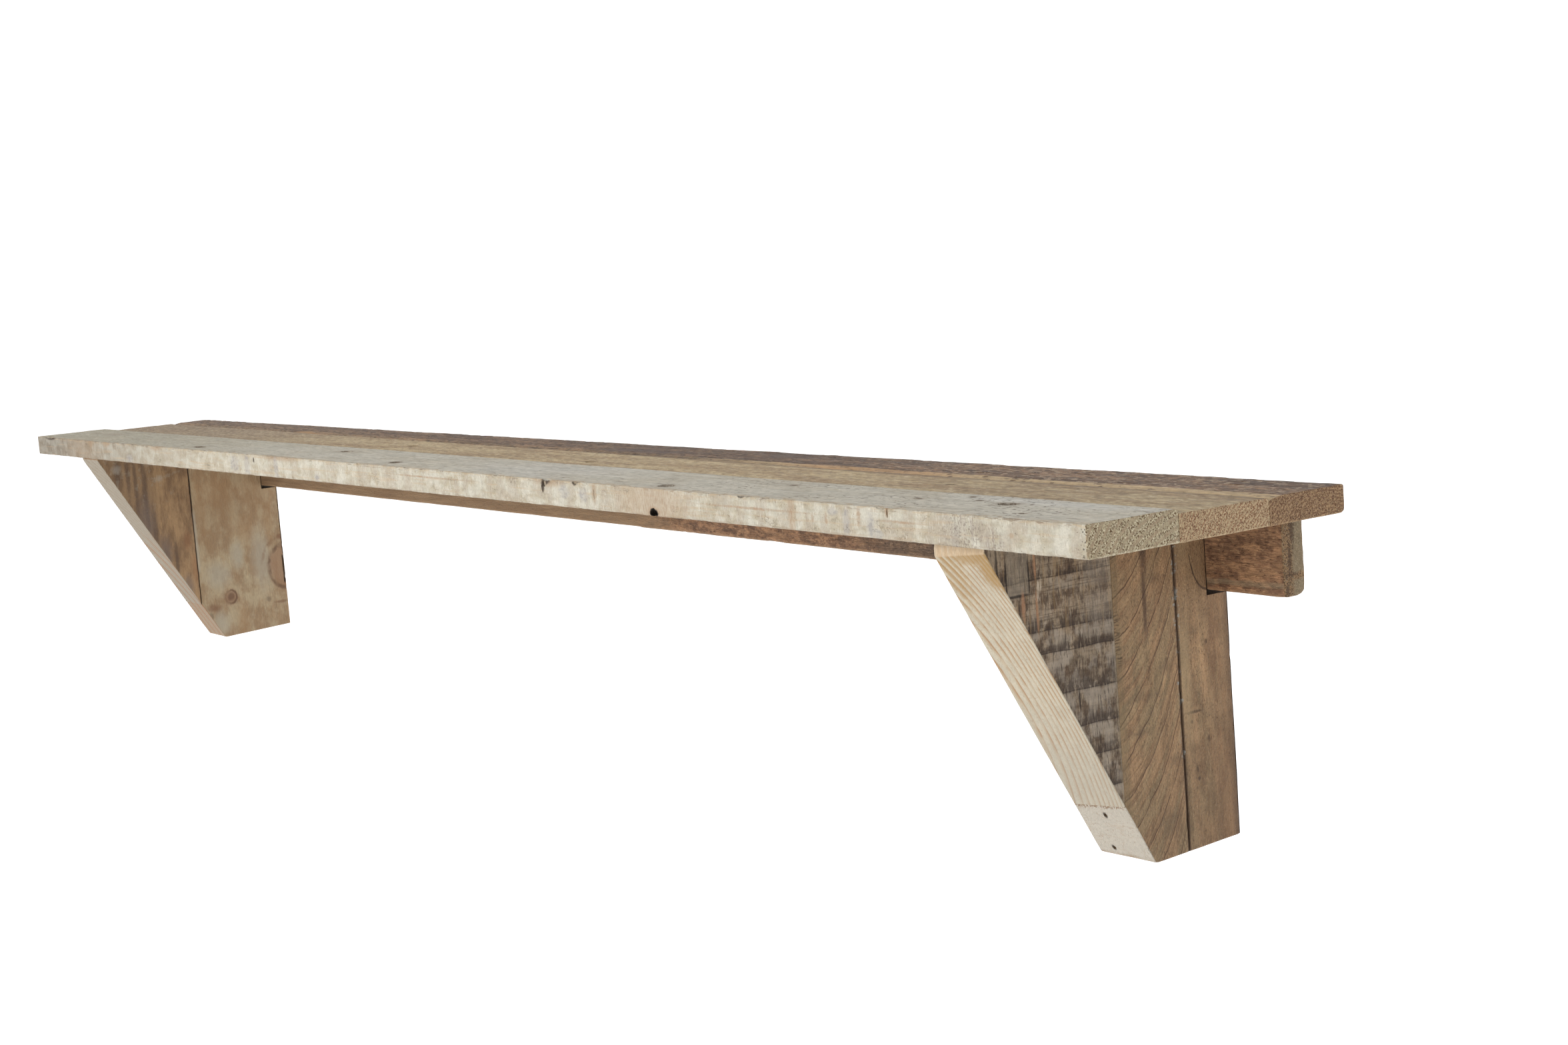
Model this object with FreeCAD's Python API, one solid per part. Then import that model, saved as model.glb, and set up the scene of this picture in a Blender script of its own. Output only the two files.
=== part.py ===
import FreeCAD, Part

import math
import os

# Wall shelf of reclaimed boards on two sawn timber brackets, in millimetres.
# X runs along the shelf, +Y points into the wall and +Z up.  The origin is the centre
# of the rail's rear face, where the shelf bears on the wall.

V = FreeCAD.Vector

# ---- driving dimensions -------------------------------------------------------------

SHELF_LENGTH = 1800.0
SHELF_DEPTH = 205.0
FRONT_BOARD_THICKNESS = 20.2
MIDDLE_BOARD_THICKNESS = 17.2
REAR_BOARD_THICKNESS = 17.7

# The boards taper: each joint is given by its distance from the shelf's front face,
# at the left end and at the right end.
FRONT_JOINT = (82.0, 70.0)
REAR_JOINT = (161.0, 142.0)

RAIL_HEIGHT = 52.0
RAIL_THICKNESS = 18.5
RAIL_END_INSET = 35.0

BRACKET_THICKNESS = 48.0
BRACKET_DROP = 216.5          # below the shelf's underside, at the bracket's toe
BRACKET_HEEL_RISE = 4.0       # the lower saw cut climbs this much towards the wall
LEFT_BRACKET_INSET = 144.0    # from the shelf's left end to the bracket's outer face
RIGHT_BRACKET_INSET = 101.0
NOTCH_GAP = 3.2               # the notch is deeper than the rail is high

# Each bracket's front: how far its plumb nose stands back from the shelf's front face,
# the nose's height at the bracket's left and right side, and where the toe ends.
LEFT_NOSE_SETBACK = 1.5
LEFT_NOSE_HEIGHT = (2.0, 2.0)
LEFT_TOE_SETBACK = 125.5
RIGHT_NOSE_SETBACK = 9.0
RIGHT_NOSE_HEIGHT = (8.5, 3.5)
RIGHT_TOE_SETBACK = 130.0

# Depth of each bracket's glued beams, from the shelf's front face to every joint.
LEFT_BEAM_JOINTS = (102.0,)
RIGHT_BEAM_JOINTS = (107.0, 159.0)

# Arris roundings.
SAWN_ARRIS = 0.8
WORN_ARRIS = 1.5
STEP_ARRIS = 3.0              # the front board's rear top edge stands over its neighbour
WANE_WIDTH = 11.0             # the rear board's waney front top edge
WANE_DEPTH = 2.6
REAR_BACK_ARRIS = 4.0         # its lower rear edge
RAIL_BACK_ARRIS = 7.0
BEAM_ARRIS = 1.2
BRACKET_BACK_ARRIS = 3.0
NEARLY_PARALLEL = 0.99        # cosine that still counts as along an edge's axis

# Knot hole that breaks out of the front board's lower front edge.
KNOT_X = 447.0
KNOT_RISE = 3.0               # its centre above the underside
KNOT_RADIUS = 5.2
KNOT_END_RADIUS = 2.6
KNOT_DEPTH = 24.0
KNOT_TILT = 9.0               # degrees, upwards into the board

# Fasteners.
NAIL_SET = 2.0                # nail heads are driven this far below the wood
BRAD_LENGTH = 50.0            # T-headed brads, their long side along the grain
BRAD_WIDTH = 1.6
BRAD_THICKNESS = 1.4
BRAD_HEAD_WIDTH = 3.0
BRAD_HEAD_HEIGHT = 1.2
BRAD_POINT = 3.0
TOE_NAIL_LENGTH = 65.0
TOE_NAIL_RADIUS = 1.2
TOE_NAIL_HEAD_RADIUS = 1.7
TOE_NAIL_HEAD_HEIGHT = 1.4
TOE_NAIL_POINT = 4.0
SCREW_RADIUS = 2.2
SCREW_HEAD_RADIUS = 4.3
SCREW_LENGTH = 50.0
SCREW_RECESS = 0.5            # screw heads lie this far inside the rail's rear face
SCREW_DRIVE_WIDTH = 1.1
SCREW_DRIVE_SPAN = 4.6
SCREW_DRIVE_DEPTH = 2.0
WALL_HOLE_RADIUS = 3.25
WALL_SINK_RADIUS = 6.5
WALL_HOLE_SPACINGS = (400.0, 1200.0)

# ---- derived levels and stations ----------------------------------------------------

HALF_LENGTH = SHELF_LENGTH / 2
FRONT = -SHELF_DEPTH
UNDERSIDE = RAIL_HEIGHT / 2
RAIL_BOTTOM = -RAIL_HEIGHT / 2
RAIL_HALF_LENGTH = HALF_LENGTH - RAIL_END_INSET
BRACKET_BOTTOM = UNDERSIDE - BRACKET_DROP
NOTCH_BOTTOM = RAIL_BOTTOM - NOTCH_GAP

LEFT_BRACKET = (-HALF_LENGTH + LEFT_BRACKET_INSET,
                -HALF_LENGTH + LEFT_BRACKET_INSET + BRACKET_THICKNESS)
RIGHT_BRACKET = (HALF_LENGTH - RIGHT_BRACKET_INSET - BRACKET_THICKNESS,
                 HALF_LENGTH - RIGHT_BRACKET_INSET)

SHELF_NAIL_DEPTHS = (-161.5, -84.0, -33.0)     # one in each board, over every bracket
RAIL_NAIL_STATIONS = (-830.0, -400.0, 0.0, 400.0, 830.0)
RAIL_NAIL_DEPTH = -12.5
TOE_NAIL_SIDE = (23.4, 32.6)                   # from the bracket's right face
TOE_NAIL_DEPTH = (-94.0, -80.2)
SCREW_SIDE_OFFSET = 10.0
SCREW_LEVELS = (12.0, -12.0)


# ---- shaping tools ------------------------------------------------------------------

def round_edges(solid, radius, chosen):
    """Fillet the straight edges of a solid that the chosen() test accepts."""
    edges = [edge for edge in solid.Edges if chosen(edge)]
    return solid.makeFillet(radius, edges)


def runs_along(edge, axis):
    """True for an edge whose direction is mainly along the given axis."""
    run = edge.lastVertex().Point - edge.firstVertex().Point
    return run.Length > 0 and abs(run.normalize().dot(axis)) > NEARLY_PARALLEL


def long_edge(solid, rear, upper):
    """A test for one of the four long edges of a board or rail."""
    centre = solid.BoundBox.Center

    def chosen(edge):
        middle = edge.CenterOfMass
        return (runs_along(edge, V(1, 0, 0))
                and (middle.y > centre.y) == rear
                and (middle.z > centre.z) == upper)
    return chosen


def upright_edge(solid, rear):
    """A test for the front or the rear pair of a beam's upright edges."""
    centre = solid.BoundBox.Center

    def chosen(edge):
        return runs_along(edge, V(0, 0, 1)) and (edge.CenterOfMass.y > centre.y) == rear
    return chosen


def cone_along(direction, base, base_radius, end_radius, length):
    return Part.makeCone(base_radius, end_radius, length, base, direction)


# ---- fasteners ----------------------------------------------------------------------

def brad(entry, headroom=0.0):
    """A T-headed brad driven straight down, its head level with NAIL_SET under the entry.

    headroom raises the head's top, which gives the cutter for the brad's whole hole."""
    half_head = BRAD_HEAD_WIDTH / 2
    half_shank = BRAD_WIDTH / 2
    shoulder = BRAD_POINT - BRAD_LENGTH
    outline = [
        V(-half_head, 0, headroom),
        V(half_head, 0, headroom),
        V(half_head, 0, -BRAD_HEAD_HEIGHT),
        V(half_shank, 0, -BRAD_HEAD_HEIGHT),
        V(half_shank, 0, shoulder),
        V(0, 0, -BRAD_LENGTH),
        V(-half_shank, 0, shoulder),
        V(-half_shank, 0, -BRAD_HEAD_HEIGHT),
        V(-half_head, 0, -BRAD_HEAD_HEIGHT),
        V(-half_head, 0, headroom),
    ]
    nail = Part.Face(Part.makePolygon(outline)).extrude(V(0, BRAD_THICKNESS, 0))
    nail.translate(entry - V(0, BRAD_THICKNESS / 2, NAIL_SET))
    return nail


def toe_nail(entry, direction):
    """A round finish nail with a tapered head, punched in along a direction."""
    outline = [
        V(0, 0, 0),
        V(TOE_NAIL_HEAD_RADIUS, 0, 0),
        V(TOE_NAIL_RADIUS, 0, TOE_NAIL_HEAD_HEIGHT),
        V(TOE_NAIL_RADIUS, 0, TOE_NAIL_LENGTH - TOE_NAIL_POINT),
        V(0, 0, TOE_NAIL_LENGTH),
        V(0, 0, 0),
    ]
    nail = Part.Face(Part.makePolygon(outline)).revolve(V(0, 0, 0), V(0, 0, 1), 360)
    turn = FreeCAD.Rotation(V(0, 0, 1), direction)
    nail.Placement = FreeCAD.Placement(entry + direction * NAIL_SET, turn)
    return nail


def punch_hole(entry, direction):
    """The hole that the punch leaves above a toe nail's head."""
    start = entry - direction * NAIL_SET
    return Part.makeCylinder(TOE_NAIL_HEAD_RADIUS, 2 * NAIL_SET, start, direction)


def wood_screw(entry, direction):
    """A countersunk wood screw with a cross drive, its head just inside the face."""
    sink = SCREW_HEAD_RADIUS - SCREW_RADIUS
    outline = [
        V(0, 0, 0),
        V(SCREW_HEAD_RADIUS, 0, 0),
        V(SCREW_RADIUS, 0, sink),
        V(SCREW_RADIUS, 0, SCREW_LENGTH - 2 * SCREW_RADIUS),
        V(0, 0, SCREW_LENGTH),
        V(0, 0, 0),
    ]
    screw = Part.Face(Part.makePolygon(outline)).revolve(V(0, 0, 0), V(0, 0, 1), 360)
    long_side = SCREW_DRIVE_SPAN / 2
    short_side = SCREW_DRIVE_WIDTH / 2
    for half_x, half_y in ((long_side, short_side), (short_side, long_side)):
        corner = V(-half_x, -half_y, 0)
        slot = Part.makeBox(2 * half_x, 2 * half_y, SCREW_DRIVE_DEPTH, corner)
        screw = screw.cut(slot)
    turn = FreeCAD.Rotation(V(0, 0, 1), direction)
    screw.Placement = FreeCAD.Placement(entry + direction * SCREW_RECESS, turn)
    return screw


def screw_hole(entry, direction):
    """The hole that a wood screw fills, with its countersink open to the face."""
    sink = SCREW_HEAD_RADIUS - SCREW_RADIUS
    seat = entry + direction * SCREW_RECESS
    mouth = Part.makeCylinder(SCREW_HEAD_RADIUS, 2 * SCREW_RECESS,
                              entry - direction * SCREW_RECESS, direction)
    countersink = cone_along(direction, seat, SCREW_HEAD_RADIUS, SCREW_RADIUS, sink)
    shank = Part.makeCylinder(SCREW_RADIUS, SCREW_LENGTH - 2 * SCREW_RADIUS - sink,
                              seat + direction * sink, direction)
    tip = cone_along(direction, seat + direction * (SCREW_LENGTH - 2 * SCREW_RADIUS),
                     SCREW_RADIUS, 0, 2 * SCREW_RADIUS)
    return mouth.fuse([countersink, shank, tip])


# ---- boards -------------------------------------------------------------------------

def board(front_joint, rear_joint, thickness):
    """A tapered board, from the setbacks of its two sides at the left and right end."""
    outline = [
        V(-HALF_LENGTH, FRONT + front_joint[0], UNDERSIDE),
        V(HALF_LENGTH, FRONT + front_joint[1], UNDERSIDE),
        V(HALF_LENGTH, FRONT + rear_joint[1], UNDERSIDE),
        V(-HALF_LENGTH, FRONT + rear_joint[0], UNDERSIDE),
    ]
    face = Part.Face(Part.makePolygon(outline + outline[:1]))
    return face.extrude(V(0, 0, thickness))


def ease_long_edges(solid, arrises):
    """Round a board's or a rail's long edges, each given as (rear, upper, radius)."""
    for rear, upper, radius in arrises:
        solid = round_edges(solid, radius, long_edge(solid, rear, upper))
    return solid


def wane(joint, top):
    """The wedge that a board lacks where its sawn top runs out into the tree's own edge."""
    corner = V(-HALF_LENGTH, FRONT + joint[0], top)
    run = V(SHELF_LENGTH, joint[1] - joint[0], 0)
    outline = [corner, corner + V(0, WANE_WIDTH, 0), corner - V(0, 0, WANE_DEPTH), corner]
    return Part.Face(Part.makePolygon(outline)).extrude(run)


def knot_hole():
    """A knot that fell out: a tapering hole that runs back and up into the board."""
    tilt = math.radians(KNOT_TILT)
    direction = V(0, math.cos(tilt), math.sin(tilt))
    mouth = V(KNOT_X, FRONT, UNDERSIDE + KNOT_RISE) - direction
    return cone_along(direction, mouth, KNOT_RADIUS, KNOT_END_RADIUS, KNOT_DEPTH)


def front_plank():
    plank = board((0, 0), FRONT_JOINT, FRONT_BOARD_THICKNESS)
    plank = ease_long_edges(plank, ((False, True, SAWN_ARRIS), (True, True, STEP_ARRIS),
                                    (False, False, WORN_ARRIS), (True, False, SAWN_ARRIS)))
    return plank.cut(knot_hole())


def middle_plank():
    plank = board(FRONT_JOINT, REAR_JOINT, MIDDLE_BOARD_THICKNESS)
    return ease_long_edges(plank, ((False, True, SAWN_ARRIS), (True, True, WORN_ARRIS),
                                   (False, False, SAWN_ARRIS), (True, False, SAWN_ARRIS)))


def rear_plank():
    back = (SHELF_DEPTH, SHELF_DEPTH)
    plank = board(REAR_JOINT, back, REAR_BOARD_THICKNESS)
    plank = plank.cut(wane(REAR_JOINT, UNDERSIDE + REAR_BOARD_THICKNESS))
    return ease_long_edges(plank, ((False, True, WORN_ARRIS), (True, True, WORN_ARRIS),
                                   (False, False, SAWN_ARRIS), (True, False, REAR_BACK_ARRIS)))


def wall_rail():
    """The batten under the rear board that carries the shelf on the wall."""
    corner = V(-RAIL_HALF_LENGTH, -RAIL_THICKNESS, RAIL_BOTTOM)
    rail = Part.makeBox(2 * RAIL_HALF_LENGTH, RAIL_THICKNESS, RAIL_HEIGHT, corner)
    rail = ease_long_edges(rail, ((False, True, SAWN_ARRIS), (True, True, SAWN_ARRIS),
                                  (False, False, WORN_ARRIS), (True, False, RAIL_BACK_ARRIS)))
    sink_depth = WALL_SINK_RADIUS - WALL_HOLE_RADIUS
    into_wall = V(0, 1, 0)
    for spacing in WALL_HOLE_SPACINGS:
        for side in (-1, 1):
            face_point = V(side * spacing / 2, -RAIL_THICKNESS, 0)
            hole = Part.makeCylinder(WALL_HOLE_RADIUS, RAIL_THICKNESS, face_point, into_wall)
            sink = cone_along(into_wall, face_point, WALL_SINK_RADIUS, WALL_HOLE_RADIUS,
                              sink_depth)
            rail = rail.cut(hole).cut(sink)
    return rail


# ---- brackets -----------------------------------------------------------------------

def diagonal_inward(nose_setback, nose_heights, toe_setback):
    """Direction square to a bracket's diagonal saw cut, into the wood."""
    run = toe_setback - nose_setback
    fall = BRACKET_DROP - nose_heights[1]
    skew = (nose_heights[0] - nose_heights[1]) / BRACKET_THICKNESS
    return V(-skew * run, fall, run).normalize()


def bracket_block(sides, nose_setback, toe_setback):
    """The glued block before the diagonal is sawn: plumb front and back, lower cut."""
    nose = FRONT + nose_setback
    toe = FRONT + toe_setback
    outline = [
        V(sides[0], nose, UNDERSIDE),
        V(sides[0], nose, BRACKET_BOTTOM),
        V(sides[0], toe, BRACKET_BOTTOM),
        V(sides[0], 0, BRACKET_BOTTOM + BRACKET_HEEL_RISE),
        V(sides[0], 0, UNDERSIDE),
    ]
    face = Part.Face(Part.makePolygon(outline + outline[:1]))
    return face.extrude(V(sides[1] - sides[0], 0, 0))


def bracket_blank(sides, nose_setback, nose_heights, toe_setback):
    """The block after its diagonal saw cut, which is set out on the right side.

    Where the nose is higher on the left side the saw ran out of square."""
    block = bracket_block(sides, nose_setback, toe_setback)
    reach = 3 * BRACKET_DROP
    waste = Part.makeBox(reach, reach, reach, V(-reach / 2, -reach / 2, 0))
    nose_end = V(sides[1], FRONT + nose_setback, UNDERSIDE - nose_heights[1])
    outward = -diagonal_inward(nose_setback, nose_heights, toe_setback)
    waste.Placement = FreeCAD.Placement(nose_end, FreeCAD.Rotation(V(0, 0, 1), outward))
    return block.cut(waste)


def beam_stock(sides, front_setback, rear_setback, rear_arris):
    """One upright beam with eased edges, longer than the bracket at both ends."""
    bottom = BRACKET_BOTTOM - BRACKET_HEEL_RISE
    depth = rear_setback - front_setback
    corner = V(sides[0], FRONT + front_setback, bottom)
    stock = Part.makeBox(sides[1] - sides[0], depth, UNDERSIDE - bottom, corner)
    for rear, radius in ((False, BEAM_ARRIS), (True, rear_arris)):
        stock = round_edges(stock, radius, upright_edge(stock, rear))
    return stock


def rail_notch(sides):
    """The pocket that takes the rail out of a bracket's upper rear corner."""
    width = sides[1] - sides[0]
    corner = V(sides[0], -RAIL_THICKNESS, NOTCH_BOTTOM)
    return Part.makeBox(width, RAIL_THICKNESS, UNDERSIDE - NOTCH_BOTTOM, corner)


def bracket_beams(names, sides, blank, joints):
    """Saw every beam of a bracket out of its stock, from the front to the wall."""
    stations = (0.0,) + joints + (SHELF_DEPTH,)
    beams = {}
    for place, name in enumerate(names):
        at_wall = place == len(names) - 1
        rear_arris = BRACKET_BACK_ARRIS if at_wall else BEAM_ARRIS
        stock = beam_stock(sides, stations[place], stations[place + 1], rear_arris)
        beam = stock.common(blank)
        if at_wall:
            beam = beam.cut(rail_notch(sides))
        beams[name] = beam
    return beams


def left_bracket_beams():
    blank = bracket_blank(LEFT_BRACKET, LEFT_NOSE_SETBACK, LEFT_NOSE_HEIGHT,
                          LEFT_TOE_SETBACK)
    names = ("left_bracket_front_beam", "left_bracket_rear_beam")
    return bracket_beams(names, LEFT_BRACKET, blank, LEFT_BEAM_JOINTS)


def right_bracket_beams():
    blank = bracket_blank(RIGHT_BRACKET, RIGHT_NOSE_SETBACK, RIGHT_NOSE_HEIGHT,
                          RIGHT_TOE_SETBACK)
    names = ("right_bracket_front_beam", "right_bracket_middle_beam",
             "right_bracket_rear_beam")
    return bracket_beams(names, RIGHT_BRACKET, blank, RIGHT_BEAM_JOINTS)


# ---- where the fasteners go ---------------------------------------------------------

def board_top(depth):
    """Level of the boards' top at a depth over the brackets, by the board that lies there."""
    setback = depth - FRONT
    if setback < min(FRONT_JOINT):
        return UNDERSIDE + FRONT_BOARD_THICKNESS
    if setback < min(REAR_JOINT):
        return UNDERSIDE + MIDDLE_BOARD_THICKNESS
    return UNDERSIDE + REAR_BOARD_THICKNESS


def shelf_nail_sites():
    """Entry points of the brads driven down through the boards."""
    sites = []
    for sides in (LEFT_BRACKET, RIGHT_BRACKET):
        for depth in SHELF_NAIL_DEPTHS:
            sites.append(V(sum(sides) / 2, depth, board_top(depth)))
    for station in RAIL_NAIL_STATIONS:
        sites.append(V(station, RAIL_NAIL_DEPTH, board_top(RAIL_NAIL_DEPTH)))
    return sites


def toe_nail_sites():
    """Entry points of the two nails driven square into the right bracket's diagonal."""
    right = RIGHT_BRACKET[1]
    inward = diagonal_inward(RIGHT_NOSE_SETBACK, RIGHT_NOSE_HEIGHT, RIGHT_TOE_SETBACK)
    nose_end = V(right, FRONT + RIGHT_NOSE_SETBACK, UNDERSIDE - RIGHT_NOSE_HEIGHT[1])
    sites = []
    for side, depth in zip(TOE_NAIL_SIDE, TOE_NAIL_DEPTH):
        offset = V(-side, depth - nose_end.y, 0)
        level = nose_end.z - inward.dot(offset) / inward.z
        sites.append((V(right - side, depth, level), inward))
    return sites


def rail_screw_sites():
    """Entry points of the screws that hold the rail in the brackets' notches."""
    forward = V(0, -1, 0)
    sites = []
    for sides in (LEFT_BRACKET, RIGHT_BRACKET):
        for side, level in zip((-SCREW_SIDE_OFFSET, SCREW_SIDE_OFFSET), SCREW_LEVELS):
            sites.append((V(sum(sides) / 2 + side, 0, level), forward))
    return sites


# ---- assembly -----------------------------------------------------------------------

def drill(pieces, cutters):
    """Cut every fastener's hole out of the pieces that it passes through."""
    for name, piece in pieces.items():
        for cutter in cutters:
            if piece.BoundBox.intersect(cutter.BoundBox):
                piece = piece.cut(cutter)
        pieces[name] = piece
    return pieces


def main():
    pieces = {
        "front_plank": front_plank(),
        "middle_plank": middle_plank(),
        "rear_plank": rear_plank(),
        "wall_rail": wall_rail(),
    }
    pieces.update(left_bracket_beams())
    pieces.update(right_bracket_beams())

    shelf_nails = [brad(site) for site in shelf_nail_sites()]
    toe_nails = [toe_nail(*site) for site in toe_nail_sites()]
    rail_screws = [wood_screw(*site) for site in rail_screw_sites()]

    holes = [brad(site, 2 * NAIL_SET) for site in shelf_nail_sites()]
    holes += [punch_hole(*site) for site in toe_nail_sites()]
    holes += [screw_hole(*site) for site in rail_screw_sites()]
    pieces = drill(pieces, toe_nails + holes)

    pieces["shelf_nails"] = Part.makeCompound(shelf_nails)
    pieces["right_bracket_nails"] = Part.makeCompound(toe_nails)
    pieces["rail_screws"] = Part.makeCompound(rail_screws)

    os.makedirs("parts", exist_ok=True)
    for name, piece in pieces.items():
        piece.exportStep(os.path.join("parts", name + ".step"))
        box = piece.BoundBox
        print(f"{name}: {len(piece.Solids)} solid(s), {piece.Volume / 1000:.1f} cm3, "
              f"x {box.XMin:.1f}..{box.XMax:.1f} y {box.YMin:.1f}..{box.YMax:.1f} "
              f"z {box.ZMin:.1f}..{box.ZMax:.1f}")


main()
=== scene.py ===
import math

import bpy
import numpy as np
from mathutils import Matrix, Vector


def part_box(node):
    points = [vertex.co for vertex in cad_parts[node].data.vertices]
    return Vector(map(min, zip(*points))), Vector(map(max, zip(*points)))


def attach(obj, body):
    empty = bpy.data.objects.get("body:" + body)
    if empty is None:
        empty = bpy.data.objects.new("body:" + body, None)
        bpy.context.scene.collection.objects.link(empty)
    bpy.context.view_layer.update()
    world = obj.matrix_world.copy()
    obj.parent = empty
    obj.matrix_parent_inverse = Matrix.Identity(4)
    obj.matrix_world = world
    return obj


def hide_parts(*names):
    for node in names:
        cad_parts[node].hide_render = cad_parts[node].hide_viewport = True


# A long wall shelf of reclaimed timber: three boards lie edge to edge on a wall rail and
# on two sawn brackets.  Every plank, rail and beam is made here as a dense skin with worn
# arrises, splinters, knots and saw marks, and its grain runs through it as solid wood.
# Sizes are in millimetres in the shelf's own frame, and go to metres as a mesh is made.

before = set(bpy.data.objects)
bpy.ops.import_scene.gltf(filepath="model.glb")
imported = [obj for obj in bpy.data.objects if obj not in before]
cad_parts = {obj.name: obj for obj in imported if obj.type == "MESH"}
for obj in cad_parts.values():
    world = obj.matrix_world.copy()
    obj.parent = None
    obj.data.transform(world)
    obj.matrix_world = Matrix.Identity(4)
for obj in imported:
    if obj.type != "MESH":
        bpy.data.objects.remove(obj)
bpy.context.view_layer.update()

METRE = 1000.0
ACROSS, DEEP, HIGH = 0, 1, 2


def node_box(node):
    """Lowest and highest corner of a node of the frame, in millimetres."""
    low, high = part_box(node)
    return np.array(low) * METRE, np.array(high) * METRE


# ---- sizes ---------------------------------------------------------------------------

FRONT_LOW, FRONT_HIGH = node_box("front_plank")
MIDDLE_LOW, MIDDLE_HIGH = node_box("middle_plank")
REAR_LOW, REAR_HIGH = node_box("rear_plank")
RAIL_LOW, RAIL_HIGH = node_box("wall_rail")
LEFT_LOW, LEFT_HIGH = node_box("left_bracket_front_beam")
RIGHT_LOW, RIGHT_HIGH = node_box("right_bracket_front_beam")
CORE_LOW, CORE_HIGH = node_box("right_bracket_middle_beam")

SHELF_END = FRONT_HIGH[ACROSS]
SHELF_FRONT = FRONT_LOW[DEEP]
SHELF_TOP = FRONT_HIGH[HIGH]
UNDERSIDE = FRONT_LOW[HIGH]
BRACKET_FOOT = CORE_LOW[HIGH]

# The boards taper, so each joint lies nearer the front at the shelf's right end.
FRONT_JOINT = (FRONT_HIGH[DEEP], FRONT_HIGH[DEEP] - 12.0)
REAR_JOINT = (MIDDLE_HIGH[DEEP], MIDDLE_HIGH[DEEP] - 19.0)

# Depths of the joints between the brackets' beams, and the brackets' middles.
LEFT_JOINT = LEFT_HIGH[DEEP]
RIGHT_FRONT_JOINT = RIGHT_HIGH[DEEP]
RIGHT_REAR_JOINT = CORE_HIGH[DEEP]
BRACKET_CENTRES = ((LEFT_LOW[ACROSS] + LEFT_HIGH[ACROSS]) / 2,
                   (RIGHT_LOW[ACROSS] + RIGHT_HIGH[ACROSS]) / 2)

# The wane at the rear board's front, how far a bracket's foot climbs from its toe to the
# wall, and the gap between the rail and the floor of its notch.
WANE_WIDTH = 9.5
WANE_DEPTH = 2.6
HEEL_RISE = 4.0
NOTCH_GAP = 3.2

# Each bracket's diagonal saw cut: the nose's height on the bracket's right side, how much
# higher the nose is on its left side, and where the cut meets the foot.
LEFT_NOSE_HEIGHT = 2.0
LEFT_NOSE_SKEW = 0.0
LEFT_TOE = -79.5
RIGHT_NOSE_HEIGHT = 3.5
RIGHT_NOSE_SKEW = 5.0
RIGHT_TOE = -75.0

# Knot hole that breaks out of the front board's lower front arris.
KNOT_X = 447.0
KNOT_RISE = 2.5
KNOT_WIDTH = 5.0
KNOT_HEIGHT = 2.9
KNOT_DEPTH = 24.0

# Fasteners' places, for the holes that show them.
NAIL_DEPTHS = (-161.5, -84.0, -33.0)
RAIL_NAIL_STATIONS = (-830.0, -400.0, 0.0, 400.0, 830.0)
RAIL_NAIL_DEPTH = -12.5
NAIL_SET = 2.0
TOE_NAILS = ((775.6, -94.0), (766.4, -80.2))
TOE_NAIL_RADIUS = 1.7
TOE_NAIL_MOUTH = 0.85 * TOE_NAIL_RADIUS
SCREW_HEAD_RADIUS = 4.3
SCREW_RADIUS = 2.2
SCREW_RECESS = 0.5
SCREW_SIDE_OFFSET = 10.0
SCREW_LEVELS = (12.0, -12.0)
WALL_HOLE_RADIUS = 3.25
WALL_SINK_RADIUS = 6.5
WALL_HOLE_SPACINGS = (400.0, 1200.0)

# ---- seeded wear ---------------------------------------------------------------------

# Length of a table of random numbers, and an offset that keeps places in it positive.
TABLE = 512
TABLE_START = 7919.0


def softened(part):
    """A share from 0 to 1 that starts and ends without a kink."""
    return part * part * (3 - 2 * part)


def wander(places, pitch, seed):
    """Smooth random swell from 0 to 1 along a length, its humps about a pitch apart."""
    table = np.random.default_rng(seed).random(TABLE)
    steps = np.asarray(places) / pitch + TABLE_START
    low = np.floor(steps).astype(int)
    part = softened(steps - low)
    return table[low % TABLE] * (1 - part) + table[(low + 1) % TABLE] * part


def dapple(first, second, seed):
    """Smooth random swell from 0 to 1 over a surface, in steps of one unit."""
    table = np.random.default_rng(seed).random((TABLE, TABLE))
    first = np.asarray(first) + TABLE_START
    second = np.asarray(second) + TABLE_START
    row = np.floor(first).astype(int)
    column = np.floor(second).astype(int)
    down = softened(first - row)
    along = softened(second - column)
    row, next_row = row % TABLE, (row + 1) % TABLE
    column, next_column = column % TABLE, (column + 1) % TABLE
    upper = table[row, column] * (1 - along) + table[row, next_column] * along
    lower = table[next_row, column] * (1 - along) + table[next_row, next_column] * along
    return upper * (1 - down) + lower * down


def chips(places, pitch, seed, share=0.3):
    """Sharp-sided bites along an arris, from 0 to 1, over a share of its length."""
    swell = wander(places, pitch, seed)
    level = 1 - share
    return np.clip((swell - level) / share, 0, 1) ** 0.7


# ---- timber skins --------------------------------------------------------------------

# Distances from an arris of the lattice's crowded lines.
CLOSE = (0.0, 0.4, 0.9, 1.6, 2.6, 4.2)
PLAIN = (0.0, 0.6, 1.4, 3.0)


def stations(low, high, pitch, fringe=PLAIN):
    """Lines across one side of a piece: crowded at both arrises, even between them."""
    near = low + np.array(fringe)
    far = high - np.array(fringe)[::-1]
    count = max(2, round((far[0] - near[-1]) / pitch))
    between = np.linspace(near[-1], far[0], count + 1)[1:-1]
    return np.concatenate([near, between, far])


def block(low, high, pitches, fringe=PLAIN):
    """A lattice of points over a block, with a pitch for each axis."""
    lines = [stations(*side, fringe) for side in zip(low, high, pitches)]
    return np.stack(np.meshgrid(*lines, indexing="ij"), -1)


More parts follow.
